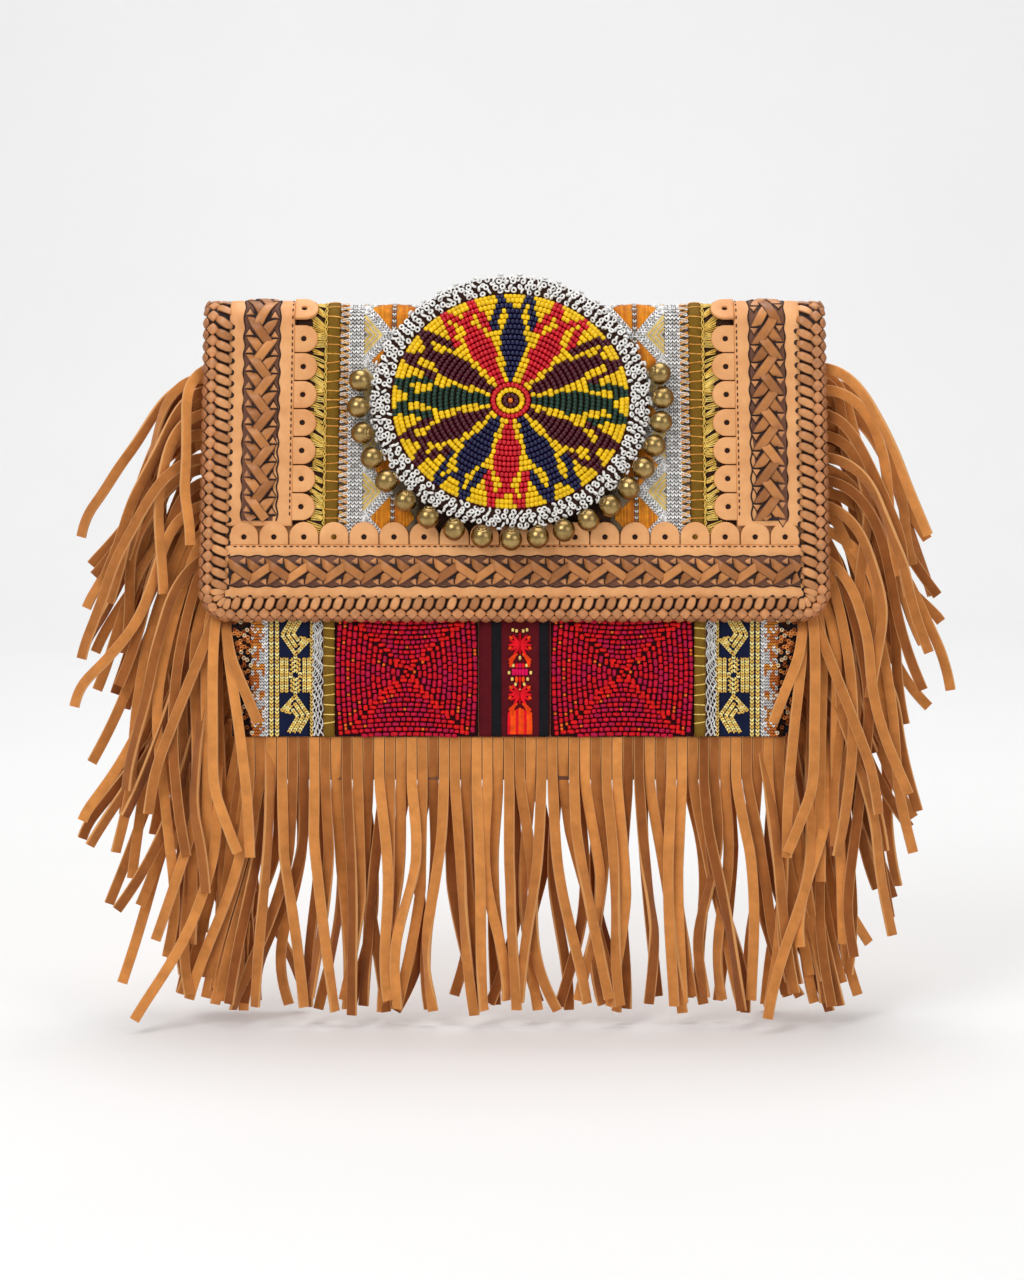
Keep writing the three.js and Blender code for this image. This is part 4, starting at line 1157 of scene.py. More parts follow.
# Strips of the side fringe that hang close in front, from under the flap's edge: x, y and z along each
CLOSE_STRIPS = (
    ((138.5, -6, -128), (143, -17, -145), (144.5, -27, -165), (144.5, -33, -200), (144, -35, -226),
     (139, -37, -243), (133, -38, -259)),
    ((138.5, -7, -132), (144, -17, -146), (150, -25, -163), (164, -31, -198), (172, -33, -220),
     (176, -34, -241)),
    ((138.5, -8, -138), (138.8, -18, -151), (135.5, -30, -166), (129, -32, -182), (123, -32.5, -197)),
    ((138.5, -8, -146), (138.5, -18, -156), (136, -30, -172), (132, -33, -200), (128.5, -34, -232),
     (127, -35, -262)),
    ((138.5, -4, -126), (146, -14, -146), (148.5, -22, -170), (148, -26, -220), (149, -28, -275)),
    ((138.5, -3, -118), (149, -11, -140), (154, -19, -165), (153, -24, -215), (155, -26, -262),
     (156, -26, -306)),
    ((138.5, -4, -104), (152, -12, -128), (161, -22, -165), (164, -29, -200), (162, -31, -235),
     (158, -31, -262)),
    ((138.5, -2, -96), (154, -9, -118), (167, -18, -160), (172, -24, -195), (168, -27, -240),
     (164, -28, -285), (168, -28, -312)),
    ((138.5, -2, -112), (150, -8, -138), (160, -14, -180), (159, -18, -230), (163, -20, -290),
     (161, -20, -322)),
    ((138.5, -2, -140), (143, -8, -160), (143, -14, -200), (141, -18, -250), (143, -18, -296)),
    ((138.5, -1, -84), (156, -6, -104), (174, -12, -150), (182, -18, -190), (186, -20, -232),
     (193, -21, -262)),
)


def close_strip(index, sign, salt):
    marks = [Vector(mark) for mark in CLOSE_STRIPS[index]]
    count = len(marks)
    drift = 4.0 * wobble(index, salt + 51) if sign > 0 else 0.0
    points, facing = [], []
    for k in range(count - 1):
        before, here, there, after = (marks[max(0, min(count - 1, k + n))] for n in (-1, 0, 1, 2))
        for step in range(6 if k < count - 2 else 7):
            t = step / 6
            bend = (2 * here + (there - before) * t + (2 * before - 5 * here + 4 * there - after) * t * t
                    + (3 * here - before - 3 * there + after) * t ** 3) / 2
            free = clamp((k + t - 1) / (count - 2))
            points.append(Vector((sign * (bend.x + drift * free), bend.y, bend.z)))
            facing.append(turned_face(0.7 * wobble(index, salt + 52) * math.sin(math.pi * 1.4 * free) * free))
    return path(points, facing, wobble(index, salt + 53))


def bottom_strip(index, rear=0.0):
    def vary(purpose):
        return wobble(index, purpose + 40 * rear)

    x = (index + 0.5 + 0.5 * rear - BOTTOM_COUNT_STRIPS / 2) * BOTTOM_STRIP_PITCH
    off = x / (BOTTOM_COUNT_STRIPS * BOTTOM_STRIP_PITCH / 2)
    top = on_panel(HALF_PANEL, PANEL_END, -PANEL_LEATHER).z - GAP
    place = on_panel(x, PANEL_END, -PANEL_LEATHER / 2) + Vector((0, 2.4 * rear, -rear))
    points = [Vector((x, place.y, place.z - 0.05))]
    facing = [Vector((0, -1, 0))]
    drift = 12 * vary(5) + 9 * off
    curl, phase = (6.0 + 3 * rear) * vary(11), 1.5 + 0.7 * vary(15)
    kink, kink_from = 26 * vary(23), 0.45 + 0.25 * vary(25)
    for down in spread(0, BOTTOM_STRIP_LENGTH, 30):
        free = max(0.0, down - STRIP_FREE_FROM) / (BOTTOM_STRIP_LENGTH - STRIP_FREE_FROM)
        twist = math.radians(34) * vary(3) * min(1, 2 * free)
        twist += 0.9 * vary(17) * math.sin(math.pi * free * (1 + phase)) * free
        sway = drift * free ** 1.15 + curl * math.sin(math.pi * free * phase) * free ** 0.6
        sway += kink * max(0.0, free - kink_from) ** 1.25 + 7 * off ** 3 * free ** 2
        layer = (BOTTOM_LAYERS[index % 3] + 2 * vary(27)) * min(1, down / 50)
        layer += 5 * rear * min(1, down / 30)
        fall = down * (1 + 0.035 * vary(7))
        points.append(Vector((x + sway, place.y + layer, top - 4.7 - fall)))
        facing.append(turned_face(twist))
    girth = [0.96] * 6 + [1.0] * (len(points) - 6)
    # The rear strips are painted a step darker, as shade behind the front row
    return path(points, facing, clamp(vary(19) - 0.5 * rear, -1, 1), girth)


# The uncut head that the bottom strips hang from, in a dark brown that paints the shade behind the strips'
# roots
def bottom_head():
    points = [on_panel(x, PANEL_END, -PANEL_LEATHER / 2) + Vector((0, 1.4, -10.5))
              for x in spread(-129, 129, 43)]
    return path(points, Vector((0, -1, 0)), -1.0)


def fringes():
    section = (STRIP_THICK, STRIP_ROUNDING)
    for word, sign, salt in SIDES:
        paths = []
        for row, more in ((OUTER_FRINGE, 0), (INNER_FRINGE, 20), (REAR_FRINGE, 30)):
            paths += [side_strip(row, k, sign, salt + more) for k in range(row["count"])]
        paths += [corner_strip(k, sign, salt) for k in range(CORNER_STRIPS)]
        paths += [close_strip(k, sign, salt) for k in range(len(CLOSE_STRIPS))]
        thongs("suede_fringe_" + word, "suede", ["fringe_" + word], paths, SUEDE, STRIP_WIDTH, *section)
    paths = [bottom_strip(k) for k in range(BOTTOM_COUNT_STRIPS)]
    paths += [bottom_strip(k, 1.0) for k in range(0, BOTTOM_COUNT_STRIPS - 1, 2)]
    thongs("suede_fringe_bottom", "suede", ["fringe_bottom"], paths, SUEDE, STRIP_WIDTH + 0.1, *section)
    thongs("suede_head_bottom", "suede", [], [bottom_head()], PAINTED_SHADE_BED, 21.0, 1.0, 0.3)


# The beaded rosette
YELLOW = rgb(246, 200, 4)
RED = rgb(206, 16, 34)
MAROON = rgb(74, 10, 26)
NAVY = rgb(20, 24, 66)
GREEN = rgb(14, 52, 36)
ORANGE = rgb(238, 120, 20)
PETALS = (NAVY, RED, MAROON, GREEN, MAROON, NAVY, RED, NAVY, MAROON, GREEN, MAROON, RED)


def dome(radius):
    profile = ((0, 5.6), (28, 5.6), (52.4, 4.8), (56.3, 3.1), (70, 3.0))
    for (r0, z0), (r1, z1) in zip(profile, profile[1:]):
        if radius <= r1:
            return lerp(z0, z1, (radius - r0) / (r1 - r0))
    return profile[-1][1]


def leg_distance(x, y, a, b):
    ax, ay = a
    bx, by = b
    run = ((x - ax) * (bx - ax) + (y - ay) * (by - ay)) / ((bx - ax) ** 2 + (by - ay) ** 2)
    run = clamp(run)
    return math.hypot(x - lerp(ax, bx, run), y - lerp(ay, by, run))


# Twelve petals, each with a crown of two peaks at the rim
def rosette_colour(radius, clockwise):
    ring = round(radius / RING_PITCH)
    if ring <= 3:
        return (ORANGE, MAROON, YELLOW, RED)[ring]
    sector = math.floor((clockwise + 15) / 30)
    off = clockwise - 30 * sector
    petal = PETALS[sector % 12]
    x = radius * math.sin(math.radians(off))
    y = radius * math.cos(math.radians(off))
    half = min(0.262 * radius - 1.4, 6.1, 6.1 - (radius - 35) * 0.36)
    if abs(x) < half and radius < 48:
        return petal

    def polar(r, angle):
        return r * math.sin(math.radians(angle)), r * math.cos(math.radians(angle))

    corners = (polar(40.0, -13.2), polar(56, -7.8), polar(44.5, 0), polar(56, 7.8), polar(40.0, 13.2))
    if min(leg_distance(x, y, a, b) for a, b in zip(corners, corners[1:])) < 1.75:
        return petal
    return YELLOW


# A turned piece of cloth under the beads
def disc_piece(name, profile, fabric):
    mesh = turned(name, profile, 72)
    chart = [(v.co.x * MM, v.co.y * MM) for v in mesh.vertices]
    for vertex in mesh.vertices:
        vertex.co = on_disc(vertex.co.x, ROSETTE_OVAL * vertex.co.y, vertex.co.z) * MM
    return charted(name, "dark_cloth", [], mesh, chart, fabric)


def rosette():
    spots = []
    for ring in range(21):
        radius = min(ring * RING_PITCH, 55.4)
        count = max(1, round(2 * math.pi * radius / BEAD_PITCH))
        for k in range(count):
            number = ring * 500 + k
            angle = 360 * (k + 0.5 * (ring % 2)) / count
            colour = rosette_colour(radius, angle - 2.5 + 0.5 * wobble(number, 71))
            bright = colour[0] > 0.8
            theta = math.radians(90 - angle)
            spin = theta + math.pi / 2 + 0.06 * wobble(k, 73)
            x, y = radius * math.cos(theta), ROSETTE_OVAL * radius * math.sin(theta)
            size = (2.25 if bright else 2.1, 2.75 if bright else 2.65, 2.6)
            tint = toned(colour, 1 + 0.1 * wobble(number, 72))
            spots.append(spot(on_disc(x, y, dome(radius) - 0.35), ROSETTE_TURN, spin, size, tint))
    copies("rosette_beads", "rosette_beads", ["rosette"], seed_bead("seed", 0.94), spots, GLASS)
    disc_piece("rosette_backing", [(0, 0), (57.2, 0), (57.2, 2.2), (52, 3.5), (28, 4.3), (0, 4.3)],
               MAROON_CLOTH)


# White picot edging: ring beads lying every way over a dark band, with single beads at the outside
EDGING_ROWS = ((58.6, 1.7), (61.0, 2.2), (63.3, 2.0), (65.4, 1.3))
OUTER_PICOTS = 42


def edging():
    disc_piece("edging_band", [(56.2, 0.2), (66.0, 0.6), (66.0, 1.6), (61.5, 2.2), (56.2, 2.0), (56.2, 0.2)],
               DARK_CLOTH)
    white = rgb(238, 236, 232)
    spots = []
    number = 0
    for row, (radius, lift) in enumerate(EDGING_ROWS):
        count = round(2 * math.pi * radius / PICOT_PITCH)
        for k in range(count):
            number += 1
            angle = 2 * math.pi * (k + 0.5 * (row % 2) + 0.22 * wobble(number, 81)) / count
            off = 0.55 * wobble(number, 82)
            place = on_disc((radius + off) * math.cos(angle), (ROSETTE_OVAL * radius + off) * math.sin(angle),
                            lift + 0.9 + 0.35 * wobble(number, 83))
            lean = Matrix.Rotation(1.35, 3, "X")
            if number % 4:
                lean = Matrix.Rotation(0.75 * wobble(number, 84), 3, "X")
                lean = lean @ Matrix.Rotation(0.75 * wobble(number, 85), 3, "Y")
            axes = ROSETTE_TURN @ Matrix.Rotation(angle + wobble(number, 86), 3, "Z") @ lean
            spots.append(spot(place, axes, tint=toned(white, 1 - 0.06 * abs(wobble(number, 87)))))
    for k in range(OUTER_PICOTS):
        angle = 2 * math.pi * (k + 0.2 * wobble(k, 88)) / OUTER_PICOTS
        place = on_disc(67.3 * math.cos(angle), (ROSETTE_OVAL * 66 + 1.3) * math.sin(angle), 1.9)
        out, right, up = (ROSETTE_TURN @ Matrix.Rotation(angle, 3, "Z")).col
        spots.append(spot(place, framed(right, up, out), 0, (0.95, 0.95, 1), toned(white, 0.86)))
    copies("edging_beads", "white_beads", ["rosette_edging"], ring_bead("picot", 1.06, 0.52, 10, 5), spots,
           WHITE_GLASS)


# Brass bells round the lower part of the rosette
def bells():
    profile = [(0.13, -0.82), (0.17, -0.97), (0.24, -1.0)]
    for k in range(1, 17):
        angle = -math.pi / 2 + math.pi * (0.1 + 0.8 * k / 17)
        profile.append((math.cos(angle), math.sin(angle)))
    profile += [(0.35, 0.86), (0.42, 0.97), (0.30, 1.02), (0.2, 0.99)]
    mesh = turned("bell", [(r * BELL_RADIUS, z * BELL_RADIUS) for r, z in profile], 28)
    clear = math.sqrt((BELL_RADIUS + GAP / 2) ** 2 - (BELL_LIFT - 1.7) ** 2) + 0.9
    spots = []
    for k in range(BELL_COUNT):
        angle = math.radians(lerp(171.5, 270.2, k / 9) if k < 9 else lerp(270.2, 371.5, (k - 9) / 10))
        place = on_disc((EDGING_OUTSIDE + clear) * math.cos(angle),
                        (EDGING_OUTSIDE * ROSETTE_OVAL + clear) * math.sin(angle), BELL_LIFT)
        tilt = Matrix.Rotation(angle - math.pi / 2 + 0.5 * wobble(k, 92), 3, "Z")
        lean = Matrix.Rotation(math.radians(90 + 24 * wobble(k, 91) - 16), 3, "X")
        spots.append(spot(place, ROSETTE_TURN @ tilt @ lean))
    names = [f"bell_{k + 1:02d}" for k in range(BELL_COUNT)]
    copies("brass_bells", "brass", names, mesh, spots, BRASS)


def ribbon(name, slot, nodes, surface, left, right, top, bottom, low, high, fabric, puff=0.0):
    wide, tall = right - left, bottom - top
    columns = spread(left, right, max(6, int(wide / 3)))
    rows = spread(top, bottom, max(8, int(tall / 2.5)))

    def place(across, down, height):
        bulge = puff * (1 - ((across - (left + right) / 2) / (wide / 2)) ** 2)
        return surface(across, down, height + (bulge if height > low + 0.2 else 0))

    piece = slab(name, slot, nodes, place, columns, rows, low, high, fabric, 0.15)
    return piece


# The ribbons of one side: piece, slot, node, inner and outer edge, height, fabric and puff
FLAP_RIBBONS = (
    ("gold_lace_ground", "gold_lace", "gold_lace", 91.7, 106.5, 1.0, DARK_CLOTH, 0.0),
    ("silver_ground", "silver_trim", "silver_trim", 75.1, 85.9, 1.0, SILVER_CLOTH, 0.0),
    ("zigzag_ground", "zigzag_trim", "zigzag_trim", 46.2, 74.8, 1.0, WHITE_CLOTH, 0.0),
    ("olive_braid", "olive_ribbon", "flap_olive_ribbon", 85.0, 91.0, 1.9, OLIVE, 0.9),
)
PANEL_RIBBONS = (
    ("panel_olive", "olive_ribbon", "panel_olive_ribbon", 86.4, 91.4, 1.9, OLIVE, 0.8),
    ("panel_silver_ground", "silver_trim", "panel_silver_lace", 92.0, 97.8, 1.0, DARK_CLOTH, 0.0),
    ("brocade_ground", "gold_navy_ribbon", "gold_navy_ribbon", 98.1, 119.4, 1.0, NAVY_CLOTH, 0.0),
    ("copper_ground", "copper_edging", "copper_edging", 119.7, 135.8, 1.0, BLACK_CLOTH, 0.0),
)


# Lays the ribbons of one side and gives the edges of the last one
def ribbons(table, surface, word, sign, top, bottom):
    for name, slot, node, inner, outer, high, fabric, puff in table:
        edges = sorted((sign * inner, sign * outer))
        ribbon(f"{name}_{word}", slot, [f"{node}_{word}"], surface, *edges, top, bottom,
               GAP, high, fabric, puff)
    return edges


def line(surface, marks, height, shade=0.0, girth=None):
    points = []
    facing = []
    for across, down, *lift in marks:
        place, _, _, out = stance(surface, across, down, height + (lift[0] if lift else 0))
        points.append(place)
        facing.append(out)
    return path(points, facing, shade, girth)


def couched(name, surface, left, right, top, bottom, pitch, height, finish_used):
    paths = []
    for k in range(int((bottom - top) / pitch)):
        at = top + (k + 0.5) * pitch + 0.5 * wobble(k, 101)
        slope = 0.5 * wobble(k, 102)
        marks = [(left - 0.2, at - slope, -0.5), (left + 0.7, at - slope * 0.6, 0.15),
                 ((left + right) / 2, at, 0.35),
                 (right - 0.7, at + slope * 0.6, 0.15), (right + 0.2, at + slope, -0.5)]
        paths.append(line(surface, marks, height, wobble(k, 103)))
    thongs(name, "olive_ribbon", [], paths, finish_used, 0.62, steps=1)


# A knitted row: pairs of short slanted stitches along a line
def knitted(spots, surface, marks, pitch, width, height, colours, salt):
    lean = 0.42
    number = 0
    for (ax, ay), (bx, by) in zip(marks, marks[1:]):
        run = math.hypot(bx - ax, by - ay)
        heading = math.atan2(ay - by, bx - ax)
        count = max(1, round(run / pitch))
        for k in range(count):
            number += 1
            share = (k + 0.5) / count
            x, y = lerp(ax, bx, share), lerp(ay, by, share)
            colour = colours[number % len(colours)]
            for side in (-1, 1):
                off = side * width * 0.24
                place = (x - off * math.sin(heading), y - off * math.cos(heading))
                spots.append(spot_on(surface, *place, height + 0.12 * wobble(number, salt + 1),
                                     heading - side * lean, (pitch * 1.2, width * 0.48, width * 0.5),
                                     toned(colour, 1 + 0.1 * wobble(number * 2 + side, salt))))


def upright_row(spots, surface, across, top, bottom, width, height, colours, salt, pitch=1.75):
    knitted(spots, surface, [(across, top), (across, bottom)], pitch, width, height, colours, salt)


WHITE = rgb(250, 249, 248)
SILVER = rgb(214, 213, 212)
PALE_GOLD = rgb(236, 204, 118)
DEEP_ORANGE = rgb(224, 140, 36)
SILVERS = ((WHITE, SILVER), (SILVER, WHITE, rgb(194, 191, 188)), (WHITE, WHITE, SILVER))
GOLDS = (rgb(250, 220, 124), rgb(234, 190, 92), rgb(255, 238, 162))


# A loop of thread, out and back with a round end: how far out, share of the gap, and lift
LOOP_STEPS = ((0, 0, 0.0), (0.4, 0, 0.5), (0.9, 0, 0.4), (1, 0.5, 0.2), (0.9, 1, 0.4), (0.4, 1.05, 0.5),
              (0, 1, 0.0))


def looped(surface, sign, near, far, down, drop, gap, height, shade):
    marks = [(sign * lerp(near, far, share), down + drop * share + gap * back, lift)
             for share, back, lift in LOOP_STEPS]
    return line(surface, marks, height, shade)


def flap_textiles():
    top, end = TRIM_START, BOTTOM_NOTCH
    ribbon("flap_centre_cloth", "dark_cloth", ["centre_cloth"], on_flap, -45.9, 45.9, top, end,
           GAP, CLOTH_TOP, DARK_CLOTH)
    for word, sign, _ in SIDES:
        olive = ribbons(FLAP_RIBBONS, on_flap, word, sign, top, end)
        couched("olive_couching_" + word, on_flap, *olive, top + 1, end - 8, 4.35, 2.35, ORANGE_THREAD)

        lace = []
        for k, down in enumerate(spread(top - 2, end - 7, 80)[:-1]):
            drop = 2.6 + 1.5 * wobble(k, 122) + 1.6 * math.sin(down * 0.23)
            lace.append(looped(on_flap, sign, 98.5 + 2.0 * wobble(k, 121), 92.3 + 0.3 * wobble(k, 124), down,
                               drop, 0.85, 1.25, wobble(k, 123)))
        for salt in (0, 1):
            marks = []
            for k, down in enumerate(spread(top, end - 4, 149)):
                swing = 0.5 * math.sin(down * 1.15 + math.pi * salt) + 0.25 * wobble(k, 124 + salt)
                marks.append((sign * (91.7 + swing), down, 0.5))
            lace.append(line(on_flap, marks, 1.5, wobble(salt, 125)))
        thongs("gold_lace_threads_" + word, "gold_lace", [], lace, GOLD_THREAD, 0.56, steps=1)

        silver, orange = [], []
        for k, down in enumerate(spread(top + 1, end - 3, 76)[:-1]):
            drop = (1.9 if k % 2 else -1.1) + 0.6 * wobble(k, 131)
            made_loop = looped(on_flap, sign, 80.2, 84.6 + 0.4 * wobble(k, 133), down, -drop, 0.9, 1.3,
                               wobble(k, 132))
            (orange if k % 2 else silver).append(made_loop)
        thongs("silver_loops_" + word, "silver_trim", [], silver, SILVER_THREAD, 0.66, steps=1)
        thongs("orange_loops_" + word, "silver_trim", [], orange, ORANGE_THREAD, 0.66, steps=1)
        knit = []
        for row, at in enumerate((79.8, 77.9, 76.0, 74.1)):
            upright_row(knit, on_flap, sign * at, top, end, 1.7, 1.35, SILVERS[row % 3], int(at))
        zigzag(word, sign, top, end, knit)
        copies("silver_knit_" + word, "silver_trim", [], pill("grain", 1, 1, 1, 5, 3), knit, KNIT)


# White knitted triangles with gold filling, and orange satin diamonds with a bar through them
def zigzag(word, sign, top, end, knit):
    corner, period, depth, base, centre = 5.3, 25.0, 11.6, 73.0, 58.6
    gold, pale, satin = [], [], []
    for block in range(-1, 6):
        start = corner + (block - 1) * period
        middle = start + period / 2

        def triangle(root, way, inset):
            reach = way * (depth - inset)
            low, high = start + inset * 1.1, start + period - inset * 1.1
            return [(sign * root, low), (sign * (root + reach), middle), (sign * root, high)]

        def within(marks, lowest):
            dense = []
            for (ax, ay), (bx, by) in zip(marks, marks[1:]):
                dense += [(lerp(ax, bx, k / 20), lerp(ay, by, k / 20)) for k in range(20)]
            return [mark for mark in dense + [marks[-1]] if top < mark[1] < lowest]

        for root, way, lowest in ((base, -1, end), (44.2, 1, 48)):
            for row, inset in enumerate((-2.5, -0.9, 0.7)):
                kept = within(triangle(root, way, inset), lowest)
                if len(kept) > 2:
                    bends = [mark for mark in kept[1:-1] if mark[1] == middle]
                    knitted(knit, on_flap, [kept[0], *bends, kept[-1]], 1.6, 1.6, 1.45, SILVERS[row],
                            141 + row)
        for step in range(2, 9):
            kept = within(triangle(base, -1, 1.2 * step), end)
            if len(kept) > 2:
                girth = [1.2 if k % 2 else 0.85 for k in range(len(kept))]
                twined = line(on_flap, kept, 1.35, 0.5 * wobble(step, 141), girth)
                (gold if step % 2 else pale).append(twined)
        for k in range(-13, 14):
            across = sign * (centre + 0.76 * k)
            half = 11.6 * (1 - abs(k) / 14.5)
            marks = [(across, start + half * share, lift)
                     for share, lift in ((-1, -0.3), (-0.4, 0.4), (0.4, 0.4), (1, -0.3))]
            kept = [mark for mark in marks if top < mark[1] < end]
            if abs(k) > 1 and len(kept) > 1:
                satin.append(line(on_flap, kept, 1.3, wobble(k + block * 40, 142)))
        bar = [(sign * centre, max(top, start - 10)), (sign * centre, min(end, start + 10))]
        if bar[0][1] < bar[1][1]:
            knitted(knit, on_flap, bar, 1.5, 2.0, 1.5, (rgb(150, 96, 60), SILVER), 149)
    for kind, paths, finish_used, width in (
        ("gold", gold, GOLD_THREAD, 0.95), ("pale", pale, PALE_THREAD, 0.98), ("satin", satin, SATIN, 0.9),
    ):
        thongs(f"zigzag_{kind}_{word}", "zigzag_trim", [], paths, finish_used, width, steps=1)


# Bead rows of the red panels follow rectangles inside one another
RED_INSIDE, RED_OUTSIDE, RED_SEEN_FROM = 17.4, 86.2, 144.0
RED_TONES = (rgb(198, 0, 52), rgb(206, 0, 34), rgb(180, 0, 62), rgb(210, 2, 24))
RED_SPECK, RED_BRIGHT = rgb(244, 104, 30), rgb(222, 14, 12)


def red_panels():
    low, high = RED_SEEN_FROM, PANEL_CLOTH_END - 0.4
    middle_down = (low + high) / 2 + 3
    half_wide, half_tall = (RED_OUTSIDE - RED_INSIDE) / 2 - 0.6, (high - low) / 2
    rows = int(half_tall / 2.2)
    for word, sign, _ in SIDES:
        ribbon("red_ground_" + word, "red_beads", ["red_beaded_panel_" + word], on_panel,
               *sorted((sign * RED_INSIDE, sign * RED_OUTSIDE)), PANEL_CLOTH_TOP, PANEL_CLOTH_END, GAP, 1.0,
               DEEP_RED_CLOTH)
        middle_x = sign * (RED_INSIDE + RED_OUTSIDE) / 2
        spots = []
        number = 0
        for ring in range(rows):
            wide = half_wide - ring * half_wide / rows
            tall = half_tall - ring * half_tall / rows
            corners = ((-wide, -tall), (wide, -tall), (wide, tall), (-wide, tall), (-wide, -tall))
            for leg, ((ax, ay), (bx, by)) in enumerate(zip(corners, corners[1:])):
                level = leg in (0, 2)
                run = math.hypot(bx - ax, by - ay)
                at = 0.9
                while at < run - 0.8:
                    number += 1
                    dot = wobble(number, 152) > 0.86
                    length = 1.5 if dot else 2.7 + 1.1 * wobble(number, 151)
                    share = (at + length / 2) / run
                    bow = 1.6 * math.sin(math.pi * share)
                    x, y = lerp(ax, bx, share), lerp(ay, by, share)
                    thick = 0.25 * wobble(number, 155)
                    if level:
                        y -= math.copysign(bow, ay)
                        width = 1.4 if dot else 1.9 + thick
                    else:
                        x += math.copysign(-bow, ax)
                        width = 1.5 if dot else 2.1 + thick
                    near_diagonal = abs(abs(x) / half_wide - abs(y) / half_tall) < 0.09
                    tone = RED_TONES[int(2 + 2 * wobble(number, 153)) % 4]
                    colour = RED_SPECK if dot else RED_BRIGHT if near_diagonal else tone
                    across, down = middle_x + x, middle_down + y
                    if low - 2 < down < high and RED_INSIDE + 0.4 < sign * across < RED_OUTSIDE - 0.6:
                        spin = (0 if level else math.pi / 2) + 0.12 * wobble(number, 154)
                        size = (length, width, 1.7)
                        spots.append(spot_on(on_panel, across, down, 1.35, spin, size, colour))
                    at += length + 0.26
        copies("red_beads_" + word, "red_beads", [], seed_bead("bugle", 0.94), spots, SILK_BEADS)


# The woven ribbon's flowers: a petal's turn from upright in degrees, its reach and its tone
PETAL_STITCHES = ((0, 5.6, 0), (38, 5.6, 0.4), (66, 5.6, -0.5), (92, 5.5, 0.2), (122, 5.2, -0.2),
                  (150, 5.9, 0.5), (180, 4.6, 0))
LEAF_STITCHES = ((4.2, 2.0, 5.4, 4.6), (3.6, -5.4, 5.0, -8.0))
ROOT_STITCHES = ((1.2, 8.6, 5.3, 15.5), (2.3, 11.0, 5.0, 18.6), (3.6, 14.0, 4.6, 21.8))
YELLOW_DOTS = ((5.2, 672.5), (3.7, 678.7), (2.1, 683.8), (3.2, 665.5), (1.6, 632.0), (3.4, 631.0))


def centre_ribbon():
    run = (PANEL_CLOTH_TOP, PANEL_CLOTH_END)
    ribbon("centre_ribbon_ground", "woven_ribbon", ["woven_centre_ribbon"], on_panel, -17.1, 17.1, *run, GAP,
           CLOTH_TOP, MAROON_CLOTH)
    for word, left, right in (("left", -11.0, -6.3), ("right", 11.8, 16.5)):
        ribbon("centre_stripe_" + word, "woven_ribbon", [], on_panel, left, right, *run, CLOTH_TOP - 0.2,
               CLOTH_TOP + 0.35, BLACK_CLOTH)
    red, pink, orange, yellow = [], [], [], []
    middle = 2.6

    # Heights on the ribbon were read off in pixels: 735 is its lower end
    def down_of(pixel):
        return PANEL_END - (735 - pixel) * 0.495

    def stitch(rows, x0, y0, x1, y1, shade=0.0, girth=(0.75, 1.1, 0.6)):
        marks = [(middle + x0, down_of(y0), -0.1), (middle + (x0 + x1) / 2, down_of((y0 + y1) / 2), 0.35),
                 (middle + x1, down_of(y1), -0.1)]
        rows.append(line(on_panel, marks, 1.7, shade, list(girth)))

    for flower in (645.3, 693.5):
        for side in (-1, 1):
            for turn, reach, tone in PETAL_STITCHES:
                x, y = side * math.sin(math.radians(turn)), -math.cos(math.radians(turn))
                stitch(red, 0.2 * x, flower + 0.4 * y, reach * x, flower + 2.02 * reach * y, tone,
                       (1.0, 1.1, 0.62))
            for x, y, along, down in LEAF_STITCHES:
                stitch(orange, side * x, flower + y, side * along, flower + down, 0.2)
            for x, y, along, down in ROOT_STITCHES:
                stitch(orange, side * x, flower + y, side * along, flower + down, -0.4, (0.8, 1.2, 0.8))
    for k in range(5):
        x = 1.55 * (k - 2)
        stitch(pink, x, 668.8, x, 675.0, 0.6 * wobble(k, 163), (1.0, 1.25, 1.0))
    for k in range(3):
        upper, lower = 1.5 * (k - 1), 1.6 * (k - 1)
        stitch(pink if k == 1 else red, upper, 663.5, upper, 668.0, 0.3, (0.9, 1.2, 0.9))
        stitch(red if k == 1 else orange, lower, 676.4, lower, 682.0, 0.3)
    for k in range(9):
        x = -5.2 + 1.3 * k
        stitch(orange if k % 3 else red, x, 711 - 1.1 * (4 - abs(k - 4)), x, 732.2, 0.8 * wobble(k, 162),
               (0.9, 1.15, 1.1))
    for x, y in YELLOW_DOTS:
        for side in (-1, 1):
            stitch(yellow, side * x, y - 1.6, side * x, y + 1.6, 0.8, (0.9, 1.2, 0.9))
    for y in (658.2, 688.5):
        stitch(yellow, 0, y - 2, 0, y + 2, 0.8, (0.8, 1.1, 0.8))
    for name, paths, silk, width, thickness in (
        ("ribbon_red_flowers", red, RED_SILK, 1.4, 0.7), ("ribbon_pink_row", pink, PINK_SILK, 1.35, 0.7),
        ("ribbon_orange_petals", orange, FLAME_SILK, 1.4, 0.7),
        ("ribbon_yellow_dots", yellow, GOLD_THREAD, 1.15, 0.8),
    ):
        thongs(name, "woven_ribbon", [], paths, silk, width, thickness)


# The pouch's side ribbons: gold brocade on navy, chains, silver lace and copper sequins
SEEN_FROM = 142.0
COPPERS = (rgb(236, 150, 80), rgb(170, 92, 46), rgb(250, 226, 184), rgb(70, 38, 24))
EDGE_KNIT = (WHITE, SILVER, DEEP_ORANGE, rgb(206, 112, 30))
CHAIN_ROWS = ((97.4, 1.4, (PALE_GOLD, GOLDS[1])), (114.0, 1.95, GOLDS), (116.75, 1.95, GOLDS),
              (119.1, 1.8, (WHITE, SILVER)))


